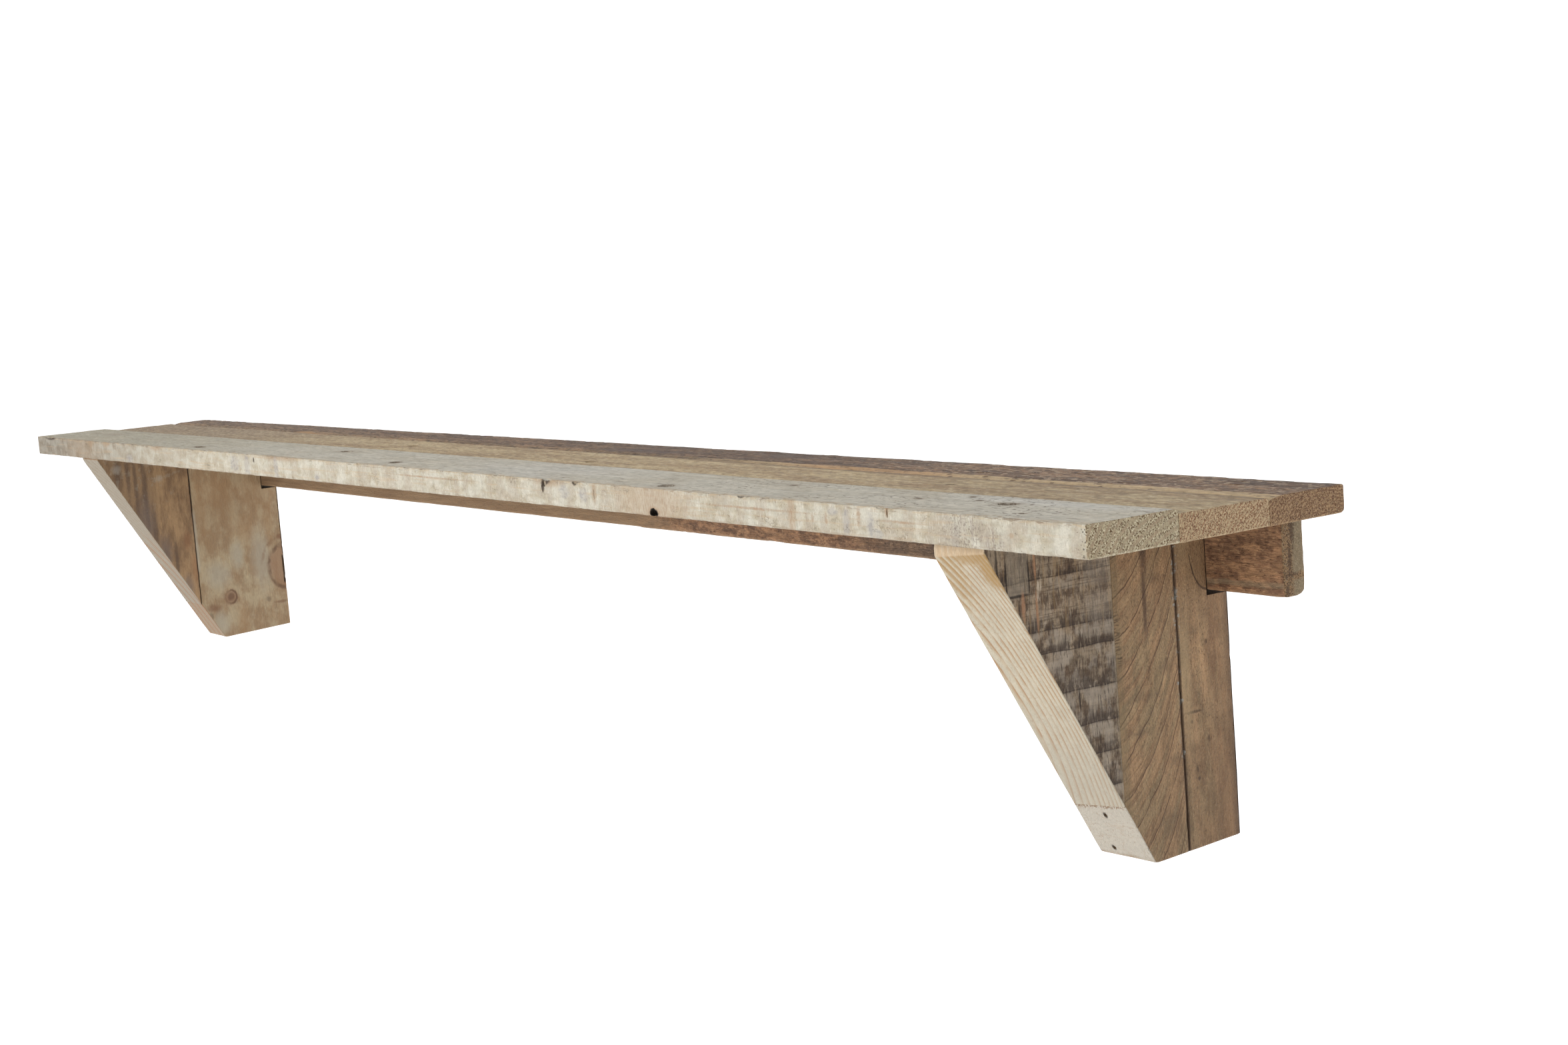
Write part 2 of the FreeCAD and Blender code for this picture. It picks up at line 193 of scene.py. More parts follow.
def tapered(lattice, front, rear):
    """The lattice with its front and rear sides set to (left, right) depths."""
    share = (lattice[..., ACROSS] + SHELF_END) / (2 * SHELF_END)
    front_line = front[0] + (front[1] - front[0]) * share
    rear_line = rear[0] + (rear[1] - rear[0]) * share
    low, high = lattice[0, 0, 0, DEEP], lattice[0, -1, 0, DEEP]
    part = (lattice[..., DEEP] - low) / (high - low)
    lattice[..., DEEP] = front_line + (rear_line - front_line) * part
    return lattice


def outer_skin(lattice):
    """Points and outward quads of a lattice's six sides."""
    shape = lattice.shape[:3]
    outer = np.ones(shape, bool)
    outer[1:-1, 1:-1, 1:-1] = False
    number = np.full(shape, -1)
    number[outer] = np.arange(outer.sum())
    quads = []
    for axis, low_is_forward in ((ACROSS, False), (DEEP, True), (HIGH, False)):
        for end in (0, -1):
            sheet = np.take(number, end, axis=axis)
            quad = np.stack([sheet[:-1, :-1], sheet[1:, :-1], sheet[1:, 1:], sheet[:-1, 1:]], -1)
            forward = low_is_forward == (end == 0)
            quads.append((quad if forward else quad[..., ::-1]).reshape(-1, 4))
    return lattice[outer], np.concatenate(quads)


class Side:
    """A flat side of a piece: a point on it and the direction into the wood."""

    def __init__(self, point, inward):
        self.point = np.array(point, float)
        self.inward = np.array(inward, float) / np.linalg.norm(inward)

    def depth(self, points):
        """How far points lie inside the side."""
        return (points - self.point) @ self.inward


def box_sides(low, high):
    """The six sides of an upright block."""
    return {
        "left": Side(low, (1, 0, 0)), "right": Side(high, (-1, 0, 0)),
        "front": Side(low, (0, 1, 0)), "rear": Side(high, (0, -1, 0)),
        "under": Side(low, (0, 0, 1)), "top": Side(high, (0, 0, -1)),
    }


def joint_side(joint, towards_rear):
    """The side of a board at a tapering joint."""
    run = np.array([2 * SHELF_END, joint[1] - joint[0], 0])
    inward = np.array([-run[DEEP], run[ACROSS], 0])
    return Side((-SHELF_END, joint[0], 0), inward if towards_rear else -inward)


class Wear:
    """Gathers how far every point of a skin is worn back, then moves the points."""

    def __init__(self, points, sides):
        self.points = points
        self.sides = sides
        self.shift = np.zeros_like(points)

    def arris(self, first, second, radius):
        """Round the arris between two sides."""
        first, second = self.sides[first], self.sides[second]
        one = np.maximum(radius - first.depth(self.points), 0)
        two = np.maximum(radius - second.depth(self.points), 0)
        reach = np.maximum(np.hypot(one, two), 1e-9)
        spare = 1 - np.maximum(one, two) / reach
        self.shift += (one * spare)[:, None] * first.inward
        self.shift += (two * spare)[:, None] * second.inward

    def sink(self, side, amount, reach=0.01):
        """Set a side's surface back, less and less towards a reach inside it."""
        side = self.sides[side]
        share = np.clip(1 - side.depth(self.points) / reach, 0, 1)
        self.shift += (share * amount)[:, None] * side.inward

    def worn(self):
        """The points where the wear has put them."""
        return self.points + self.shift


def placed(name, data):
    """A new object in the scene that holds a mesh, a light or a camera."""
    thing = bpy.data.objects.new(name, data)
    bpy.context.scene.collection.objects.link(thing)
    return thing


def shaped(name, points, faces):
    """A new object made of points in metres and their faces."""
    mesh = bpy.data.meshes.new(name)
    mesh.from_pydata(points, [], faces)
    return placed(name, mesh)


def timber(name, wear, quads):
    """A piece of timber as its wear has left it."""
    return shaped(name, (wear.worn() / METRE).tolist(), quads.tolist())


# ---- cutters for holes, pits and splits ----------------------------------------------

HOLE_SIDES = 28  # faces round a drilled hole


def turned(profile, start, direction, seed=0, roughness=0.0, sides=HOLE_SIDES):
    """A closed turned shape: profile is a list of (distance along, radius)."""
    turn = Vector((0, 0, 1)).rotation_difference(Vector(direction)).to_matrix()
    noise = np.random.default_rng(seed)
    points, quads = [], []
    for along, radius in profile:
        for step in range(sides):
            angle = 2 * math.pi * step / sides
            reach = radius * (1 + roughness * (noise.random() - 0.5))
            spot = Vector((reach * math.cos(angle), reach * math.sin(angle), along))
            points.append(Vector(start) + turn @ spot)
    for ring in range(len(profile) - 1):
        for step in range(sides):
            after = (step + 1) % sides
            quads.append([ring * sides + step, ring * sides + after,
                          (ring + 1) * sides + after, (ring + 1) * sides + step])
    first = list(range(sides))[::-1]
    last = [(len(profile) - 1) * sides + step for step in range(sides)]
    return points, quads + [first, last]


def pit(centre, half_size, seed, roughness=0.5, lean=0.0):
    """A ragged hollow drawn out along the grain; lean turns it in plan, in radians."""
    rings, sides = 8, 10
    turn = Matrix.Rotation(lean, 3, "Z")
    noise = np.random.default_rng(seed)
    points = []
    for ring in range(1, rings):
        polar = math.pi * ring / rings
        for step in range(sides):
            angle = 2 * math.pi * step / sides
            reach = 1 + roughness * (noise.random() - 0.5)
            spot = (math.cos(polar), math.sin(polar) * math.cos(angle) * reach,
                    math.sin(polar) * math.sin(angle) * reach)
            place = Vector(s * h for s, h in zip(spot, half_size))
            points.append(Vector(centre) + turn @ place)
    points += [Vector(centre) + turn @ Vector((way * half_size[0], 0, 0)) for way in (1, -1)]
    quads = []
    for ring in range(rings - 2):
        for step in range(sides):
            after = (step + 1) % sides
            quads.append([ring * sides + step, (ring + 1) * sides + step,
                          (ring + 1) * sides + after, ring * sides + after])
    near_tip, far_tip = len(points) - 2, len(points) - 1
    last = (rings - 2) * sides
    for step in range(sides):
        after = (step + 1) % sides
        quads.append([near_tip, step, after])
        quads.append([far_tip, last + after, last + step])
    return points, quads


def cut_out(piece, cutters):
    """Take all the cutters' shapes out of a piece and keep the result as its mesh."""
    holes = []
    for number, (points, quads) in enumerate(cutters):
        hole = shaped(f"{piece.name}_hole_{number}", [spot / METRE for spot in points], quads)
        saw = piece.modifiers.new(hole.name, "BOOLEAN")
        saw.operation = "DIFFERENCE"
        saw.solver = "MANIFOLD"
        saw.object = hole
        holes.append(hole)
    depsgraph = bpy.context.evaluated_depsgraph_get()
    cut = bpy.data.meshes.new_from_object(piece.evaluated_get(depsgraph))
    piece.modifiers.clear()
    piece.data = cut
    for hole in holes:
        bpy.data.objects.remove(hole)


SHARP = math.radians(28)  # a sharper turn than this keeps its edge in the shading


def settle(piece, node, finish):
    """Give a finished piece its node's place and its material."""
    piece.data.polygons.foreach_set("use_smooth", [True] * len(piece.data.polygons))
    piece.data.set_sharp_from_angle(angle=SHARP)
    piece.data.materials.clear()
    piece.data.materials.append(finish)
    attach(piece, "root")
    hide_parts(node)


# ---- the boards ----------------------------------------------------------------------

def ease_ends(wear, places, seed, radius=0.7, glued=()):
    """Soften the saw-cut ends of a board or rail, less at the sides that are glued."""
    for end in ("left", "right"):
        for number, side in enumerate(("front", "rear", "top", "under")):
            swell = wander(places, 3.5, seed + number)
            wear.arris(end, side, radius * (0.5 + swell) * (0.2 if side in glued else 1.0))
        grain = dapple(wear.points[:, DEEP] / 1.7, wear.points[:, HIGH] / 1.3, seed + 9)
        wear.sink(end, 0.25 * grain)


def brad_mouths(places, top):
    """The slits above the brads that fasten the boards."""
    return [pit((*place, top), (2.3, 1.0, 2.4), 40 + n) for n, place in enumerate(places)]


def front_plank(finish):
    """The front board, with its knot hole, torn front arris, splits and pockets."""
    low, high = FRONT_LOW, FRONT_HIGH
    lattice = block(low, high, (2.3, 5.0, 2.2), CLOSE)
    points, quads = outer_skin(tapered(lattice, (low[DEEP], low[DEEP]), FRONT_JOINT))
    sides = box_sides(low, high)
    sides["rear"] = joint_side(FRONT_JOINT, towards_rear=False)
    wear = Wear(points, sides)
    along, level, depth = points[:, ACROSS], points[:, HIGH], points[:, DEEP]

    worn_corner = 2.4 * np.exp(-((along + 856) / 9) ** 2)
    splinters = 2.3 * chips(along, 5.5, 11) * (wander(along, 70, 12) > 0.42)
    slivers = 1.3 * chips(along, 2.6, 13, 0.4) * (wander(along, 38, 14) > 0.5)
    wear.arris("front", "top",
               0.5 + 0.7 * wander(along, 28, 15) + splinters + slivers + worn_corner)
    wear.arris("front", "under", 1.1 + 0.9 * wander(along, 22, 16) + 1.2 * chips(along, 6, 17))
    wear.arris("rear", "top", 2.6 + 0.8 * wander(along, 60, 18))
    wear.arris("rear", "under", 0.8)
    ease_ends(wear, along + 3 * depth, 20, glued=("rear",))
    saw = 0.22 * wander(along + 0.3 * level, 6.5, 31) + 0.3 * dapple(along / 34, level / 9, 32)
    wear.sink("front", saw * (0.4 + wander(along, 90, 33)))
    wear.sink("top", 0.35 * dapple(along / 60, depth / 14, 34)
              + 0.12 * dapple(along / 9, depth / 4, 35))
    wear.sink("rear", 0.04 + 0.12 * wander(along, 45, 36))
    wear.sink("under", 0.3 * dapple(along / 20, depth / 20, 37))

    piece = timber("front_board", wear, quads)
    knot_mouth = (KNOT_X, SHELF_FRONT, UNDERSIDE + KNOT_RISE)
    cutters = [pit(knot_mouth, (KNOT_WIDTH, KNOT_DEPTH, KNOT_HEIGHT), 41, roughness=0.9)]
    front, top = SHELF_FRONT, SHELF_TOP
    splits = (
        ((294.0, front + 1, top + 0.4), (6.0, 3.6, 2.0), 0.1),
        ((292.5, front, top - 3.2), (2.6, 1.8, 3.2), 0.3),
        ((289.6, front, top - 7.0), (1.5, 1.4, 3.2), 0.2),
        ((338.5, front, top - 0.4), (3.4, 3.2, 2.2), 0.0),
        ((366.0, front, top - 8), (1.0, 0.9, 3.6), 0.0),
        ((559.0, front, top), (4.2, 1.8, 1.5), 0.2),
        ((713.5, front, top - 0.4), (5.5, 1.4, 0.9), 0.1),
        ((719.4, front, top - 3.2), (0.9, 1.3, 2.8), 0.0),
        ((-36.0, front, top), (4.0, 1.8, 1.5), 0.2),
        ((-545.0, front + 5, top), (16.0, 1.0, 0.9), 0.3),
        ((-862.0, front + 3, top), (16.0, 1.8, 1.2), 0.25),
        ((-60.0, front + 6, top), (13.0, 1.1, 0.9), 0.35),
        ((210.0, front + 5, top), (15.0, 1.1, 0.9), 0.3),
    )
    cutters += [pit(place, size, 50 + n, lean=-lean)
                for n, (place, size, lean) in enumerate(splits)]
    pockets = (
        ((444.0, -191.0, top), (8.4, 5.4, 2.6)), ((826.0, -187.0, top), (3.0, 2.4, 1.5)),
        ((545.0, -151.5, top), (4.5, 2.6, 1.2)), ((0.0, -186.0, top), (7.5, 5.0, 2.0)),
        ((-170.0, -153.0, top), (9.5, 4.0, 1.8)), ((-443.0, -188.0, top), (11.0, 4.2, 1.8)),
        ((730.0, -146.0, top), (4.0, 2.0, 1.0)), ((700.0, -165.5, top), (5.0, 1.8, 0.9)),
        ((718.0, -160.5, top), (4.0, 1.2, 0.9)), ((600.0, -156.5, top), (5.0, 1.4, 0.9)),
        ((110.0, -160.0, top), (17.0, 0.9, 0.8)), ((52.0, -180.0, top), (7.0, 1.1, 0.9)),
        ((772.0, -135.6, top - 0.8), (7.0, 2.0, 1.6)), ((750.0, -156.5, top), (4.0, 1.3, 0.9)),
    )
    cutters += [pit(place, size, 80 + n) for n, (place, size) in enumerate(pockets)]
    nail_pit = (BRACKET_CENTRES[1] + 7.5, NAIL_DEPTHS[0], top)
    cutters += [pit(nail_pit, (8.2, 5.0, 3.2), 99)]
    cutters += brad_mouths([(x, NAIL_DEPTHS[0]) for x in BRACKET_CENTRES], top)
    cut_out(piece, cutters)
    settle(piece, "front_plank", finish)


def middle_plank(finish):
    """The middle board, glued between the other two."""
    low, high = MIDDLE_LOW, MIDDLE_HIGH
    lattice = block(low, high, (3.6, 5.5, 3.2))
    points, quads = outer_skin(tapered(lattice, FRONT_JOINT, REAR_JOINT))
    sides = box_sides(low, high)
    sides["front"] = joint_side(FRONT_JOINT, towards_rear=True)
    sides["rear"] = joint_side(REAR_JOINT, towards_rear=False)
    wear = Wear(points, sides)
    along, depth = points[:, ACROSS], points[:, DEEP]
    wear.arris("front", "top", 0.8)
    wear.arris("rear", "top", 1.2 + 0.9 * wander(along, 18, 118) + 1.4 * chips(along, 7, 119))
    wear.arris("front", "under", 0.8)
    wear.arris("rear", "under", 0.8)
    ease_ends(wear, along + 3 * depth, 120, glued=("front", "rear"))
    wear.sink("top", 0.3 * dapple(along / 45, depth / 10, 134)
              + 0.16 * dapple(along / 8, depth / 3, 135))
    wear.sink("front", 0.04 + 0.1 * wander(along, 45, 136))
    wear.sink("rear", 0.04 + 0.16 * wander(along, 30, 137))
    wear.sink("under", 0.3 * dapple(along / 20, depth / 20, 138))
    piece = timber("middle_board", wear, quads)
    top = high[HIGH]
    pockets = (
        ((183.0, -101.0, top), (6.5, 3.8, 1.6)), ((-177.0, -83.0, top), (9.0, 4.4, 1.8)),
        ((700.0, -105.0, top), (5.0, 0.9, 0.8)), ((640.0, -92.0, top), (5.0, 1.2, 0.9)),
        ((490.0, -100.0, top), (4.0, 1.2, 0.9)), ((-420.0, -100.0, top), (12.0, 1.0, 0.9)),
    )
    cutters = [pit(place, size, 180 + n) for n, (place, size) in enumerate(pockets)]
    cutters += brad_mouths([(x, NAIL_DEPTHS[1]) for x in BRACKET_CENTRES], top)
    cut_out(piece, cutters)
    settle(piece, "middle_plank", finish)


def rear_plank(finish):
    """The rear board, whose front arris is an uneven wane."""
    low, high = REAR_LOW, REAR_HIGH
    lattice = block(low, high, (3.6, 4.5, 3.2))
    points, quads = outer_skin(tapered(lattice, REAR_JOINT, (high[DEEP], high[DEEP])))
    sides = box_sides(low, high)
    sides["front"] = joint_side(REAR_JOINT, towards_rear=True)
    wear = Wear(points, sides)
    along, depth = points[:, ACROSS], points[:, DEEP]
    wane_width = WANE_WIDTH + 3.0 * wander(along, 90, 215)
    share = np.clip(1 - sides["front"].depth(points) / wane_width, 0, 1)
    wear.sink("top", WANE_DEPTH * share ** 1.3, reach=9.0)
    wear.arris("front", "top", 1.0 + 0.8 * wander(along, 16, 217))
    wear.arris("rear", "top", 1.2 + 1.0 * wander(along, 20, 218) + 1.6 * chips(along, 8, 219))
    wear.arris("front", "under", 0.8)
    wear.arris("rear", "under", 3.4 + 0.6 * wander(along, 50, 216))
    ease_ends(wear, along + 3 * depth, 220, glued=("front",))
    wear.sink("top", 0.45 * dapple(along / 30, depth / 6, 234)
              + 0.25 * dapple(along / 7, depth / 2.2, 235))
    wear.sink("front", 0.04 + 0.16 * wander(along, 30, 236))
    wear.sink("under", 0.3 * dapple(along / 20, depth / 20, 238))
    piece = timber("rear_board", wear, quads)
    top = high[HIGH]
    splits = (
        ((-540.0, -30.0, top - 2), (26.0, 1.6, 1.6)), ((145.0, -52.0, top - 2), (14.0, 1.6, 1.8)),
        ((330.0, -47.0, top - 2), (10.0, 1.4, 1.6)), ((610.0, -38.0, top), (9.0, 1.4, 1.4)),
        ((690.0, -20.0, top), (12.0, 1.2, 1.2)), ((760.0, -44.0, top - 1), (11.0, 1.3, 1.6)),
        ((838.0, -26.0, top), (9.0, 1.2, 1.2)), ((-230.0, -22.0, top), (14.0, 1.4, 1.4)),
    )
    cutters = [pit(place, size, 280 + n) for n, (place, size) in enumerate(splits)]
    places = [(x, NAIL_DEPTHS[2]) for x in BRACKET_CENTRES]
    places += [(x, RAIL_NAIL_DEPTH) for x in RAIL_NAIL_STATIONS]
    cut_out(piece, cutters + brad_mouths(places, top))
    settle(piece, "rear_plank", finish)


# ---- the rail ------------------------------------------------------------------------

def wall_rail(finish):
    """The rail on the wall, with its countersunk wall holes and screw seats."""
    low, high = RAIL_LOW, RAIL_HIGH
    points, quads = outer_skin(block(low, high, (4.2, 4.0, 4.5)))
    wear = Wear(points, box_sides(low, high))
    along, level = points[:, ACROSS], points[:, HIGH]
    rough = np.clip((along - 90) / 120, 0, 1)
    wear.arris("front", "top", 0.8)
    wear.arris("front", "under",
               1.1 + 0.8 * wander(along, 26, 317) + 1.6 * rough * chips(along, 8, 318))
    wear.arris("rear", "top", 0.8)
    wear.arris("rear", "under", 6.6 + 0.4 * wander(along, 60, 316))
    ease_ends(wear, along + 3 * level, 320, radius=1.0)
    wear.sink("front", (0.15 + 0.45 * rough) * dapple(along / 18, level / 5, 334))
    wear.sink("under", (along < 115) * 0.5 + 0.2 * wander(along, 30, 335))
    piece = timber("back_rail", wear, quads)
    thickness = high[DEEP] - low[DEEP]
    sink = WALL_SINK_RADIUS - WALL_HOLE_RADIUS
    cutters = []
    for spacing in WALL_HOLE_SPACINGS:
        for way in (-1, 1):
            profile = [(0, WALL_SINK_RADIUS), (1, WALL_SINK_RADIUS),
                       (1 + sink, WALL_HOLE_RADIUS), (thickness + 2, WALL_HOLE_RADIUS)]
            start = (way * spacing / 2, low[DEEP] - 1, 0)
            cutters.append(turned(profile, start, (0, 1, 0)))
    seat = SCREW_HEAD_RADIUS - SCREW_RADIUS
    for centre in BRACKET_CENTRES:
        for side, level in zip((-SCREW_SIDE_OFFSET, SCREW_SIDE_OFFSET), SCREW_LEVELS):
            profile = [(0, SCREW_HEAD_RADIUS), (1 + SCREW_RECESS, SCREW_HEAD_RADIUS),
                       (1 + SCREW_RECESS + seat, SCREW_RADIUS)]
            start = (centre + side, high[DEEP] + 1, level)
            cutters.append(turned(profile, start, (0, -1, 0)))
    cut_out(piece, cutters)
    settle(piece, "wall_rail", finish)


# ---- the brackets --------------------------------------------------------------------

class Bracket:
    """The cuts that all the beams of one bracket share."""

    def __init__(self, left, right, nose, nose_height, nose_skew, toe):
        self.left = left
        self.right = right
        self.nose = nose
        self.toe = toe
        self.nose_level = UNDERSIDE - nose_height
        self.fall = (self.nose_level - BRACKET_FOOT) / (toe - nose)
        self.skew = nose_skew / (right - left)
        self.rise = -HEEL_RISE / toe

    def diagonal(self, across, deep):
        """Level of the diagonal cut."""
        side_drop = (self.right - across) * self.skew
        return self.nose_level - (deep - self.nose) * self.fall - side_drop

    def foot(self, deep):
        """Level of the lower cut, which climbs towards the wall."""
        return BRACKET_FOOT + (deep - self.toe) * self.rise

    def bottom(self, across, deep):
        """Level of whichever cut lies higher."""
        return np.maximum(self.diagonal(across, deep), self.foot(deep))

    def toe_line(self, across):
        """Where the diagonal meets the foot, which the saw's skew shifts."""
        return self.toe - (self.right - across) * self.skew / (self.fall + self.rise)

    def sides(self, front, rear):
        """The sides of a beam between two depths."""
        low = np.array([self.left, front, BRACKET_FOOT])
        high = np.array([self.right, rear, UNDERSIDE])
        sides = box_sides(low, high)
        nose = (self.right, self.nose, self.nose_level)
        sides["diagonal"] = Side(nose, (-self.skew, self.fall, 1))
        sides["foot"] = Side((self.right, self.toe, BRACKET_FOOT), (0, -self.rise, 1))
        return sides


LEFT_BRACKET = Bracket(LEFT_LOW[ACROSS], LEFT_HIGH[ACROSS], LEFT_LOW[DEEP],
                       LEFT_NOSE_HEIGHT, LEFT_NOSE_SKEW, LEFT_TOE)
RIGHT_BRACKET = Bracket(RIGHT_LOW[ACROSS], RIGHT_HIGH[ACROSS], RIGHT_LOW[DEEP],
                        RIGHT_NOSE_HEIGHT, RIGHT_NOSE_SKEW, RIGHT_TOE)

# Pitch of a beam's lattice, and the depths at which its rear columns turn round the notch.
BEAM_PITCH = 4.5
NOTCH_START = -34.0
NOTCH_TURN = -26.0
NOTCH_CORNER = -13.0


def beam_lattice(bracket, columns, notched):
    """A beam as columns that stand on the saw cuts; columns are depths, None the toe."""
    height = UNDERSIDE - BRACKET_FOOT
    across = stations(bracket.left, bracket.right, BEAM_PITCH)
    share = stations(0.0, height, BEAM_PITCH) / height
    x = across[:, None, None]
    depths = [np.broadcast_to(bracket.toe_line(across) if c is None else c, across.shape)
              for c in columns]
    foot_line = np.stack(depths, 1)[:, :, None]
    head_line, head_level = foot_line, np.full_like(foot_line, UNDERSIDE)
    if notched:
        head_line, head_level = notch_path(foot_line)
    low = bracket.bottom(x, foot_line)
    deep = foot_line + (head_line - foot_line) * share
    high = low + (head_level - low) * share
    return np.stack([np.broadcast_to(x, deep.shape), deep, high], -1)


def notch_path(foot_line):
    """Where the tops of a beam's columns lie as they pass round the rail's notch."""
    wall, floor = RAIL_LOW[DEEP], RAIL_LOW[HIGH] - NOTCH_GAP
    turns = [-1000.0, NOTCH_START, NOTCH_TURN, NOTCH_CORNER, 0.0]
    depth = np.interp(foot_line, turns, [-1000.0, NOTCH_START, wall, wall, 0.0])
    level = np.interp(foot_line, turns, [UNDERSIDE, UNDERSIDE, UNDERSIDE, floor, floor])
    return depth, level


def beam(name, node, bracket, front, rear, finish, seed,
         cutters=(), notched=False, tight=None):
    """One upright beam of a bracket, from its front to its rear depth.

    tight names the side whose joint has hardly any wear on its arrises."""
    columns = list(stations(front, rear, BEAM_PITCH))
    if notched:
        fan = list(np.linspace(NOTCH_TURN, NOTCH_CORNER, 12))
        columns = [c for c in columns if c < NOTCH_TURN - 1 or c > NOTCH_CORNER + 1] + fan
        columns.sort()
    if front < bracket.toe < rear:
        before = [c for c in columns if c < bracket.toe - BEAM_PITCH]
        after = [c for c in columns if c > bracket.toe + 1.5]
        columns = before + [None] + after
    points, quads = outer_skin(beam_lattice(bracket, columns, notched))
    wear = Wear(points, bracket.sides(front, rear))
    level, along = points[:, HIGH], points[:, HIGH] + 0.7 * points[:, ACROSS]
    for number, face in enumerate(("left", "right")):
        shade = seed + 20 * number
        for other in ("front", "rear"):
            outer = 2.4 if other == "rear" and notched else 0.7
            swell = wander(level, 24, shade + 1) + 1.3 * chips(level, 6, shade + 2, 0.25)
            wear.arris(face, other, 0.15 if other == tight else outer + 0.8 * swell)
            shade += 3
        wear.arris(face, "diagonal", 0.4 + 0.5 * wander(level, 9, shade + 7))
        wear.arris(face, "foot", 0.5 + 0.6 * wander(points[:, DEEP], 9, shade + 8))
        wear.sink(face, 0.28 * dapple(points[:, DEEP] / 7, level / 40, shade + 9))
    wear.arris("diagonal", "foot", 0.8 + 0.6 * wander(points[:, ACROSS], 9, seed + 60))
    for number, joint in enumerate(("front",) if notched else ("front", "rear")):
        slack = 0.12 + 0.3 * wander(level, 30, seed + 61 + number)
        wear.sink(joint, slack * (0.15 if joint == tight else 1.0), reach=0.6)
    cut = 0.12 * dapple(along / 3, points[:, ACROSS] / 14, seed + 63)
    wear.sink("diagonal", cut, reach=0.3)
    piece = timber(name, wear, quads)
    if cutters:
        cut_out(piece, cutters)
    settle(piece, node, finish)


def toe_nail_holes():
    """The punched holes above the two nails in the right bracket's diagonal."""
    inward = RIGHT_BRACKET.sides(0, 0)["diagonal"].inward
    holes = []
    for across, deep in TOE_NAILS:
        level = RIGHT_BRACKET.diagonal(across, deep)
        start = Vector((across, deep, level)) - Vector(inward) * NAIL_SET
        profile = [(0, TOE_NAIL_MOUTH), (2 * NAIL_SET + 0.2, TOE_NAIL_MOUTH)]
        holes.append(turned(profile, start, inward, seed=7, roughness=0.18, sides=20))
    return holes


# ---- shader arithmetic ---------------------------------------------------------------

class Shade:
    """A number or a place that changes over the wood; sums on it add Math nodes."""

    def __init__(self, finish, socket):
        self.finish = finish
        self.socket = socket

    def __add__(self, other):
        return self.finish.maths("ADD", self, other)

    def __sub__(self, other):
        return self.finish.maths("SUBTRACT", self, other)

    def __rsub__(self, other):
        return self.finish.maths("SUBTRACT", other, self)

    def __mul__(self, other):
        return self.finish.maths("MULTIPLY", self, other)

    def __truediv__(self, other):
        return self.finish.maths("DIVIDE", self, other)

    def __abs__(self):
        return self.finish.maths("ABSOLUTE", self)

    __radd__ = __add__
    __rmul__ = __mul__

    def over(self, low, high):
        """0 below low, 1 above high, and a soft step between them."""
        limits = {"From Min": low, "From Max": high, "Value": self}
        return self.finish.add("ShaderNodeMapRange", {"interpolation_type": "SMOOTHSTEP"}, limits)

    def under(self, low, high):
        """1 below low, 0 above high."""
        return 1 - self.over(low, high)

    def between(self, low, high, soft):
        """1 from low to high, with soft steps."""
        return self.over(low - soft, low + soft) * self.under(high - soft, high + soft)

    def fraction(self):
        """What is left over after the whole steps."""
        return self.finish.maths("FRACT", self)

    def most(self, other):
        """The larger of the two."""
        return self.finish.maths("MAXIMUM", self, other)


# Light that falls on the shelf's front, against which the tones are set.
DAYLIGHT = 1.2


def tone(red, green, blue):
    """A colour as the eye sees it on the shelf's front, 0 to 255, for a shader."""
    parts = []
    for part in (red, green, blue):
        part = part / 255
        linear = part / 12.92 if part <= 0.04045 else ((part + 0.055) / 1.055) ** 2.4
        parts.append(min(linear / DAYLIGHT, 1.0))
    return (*parts, 1.0)


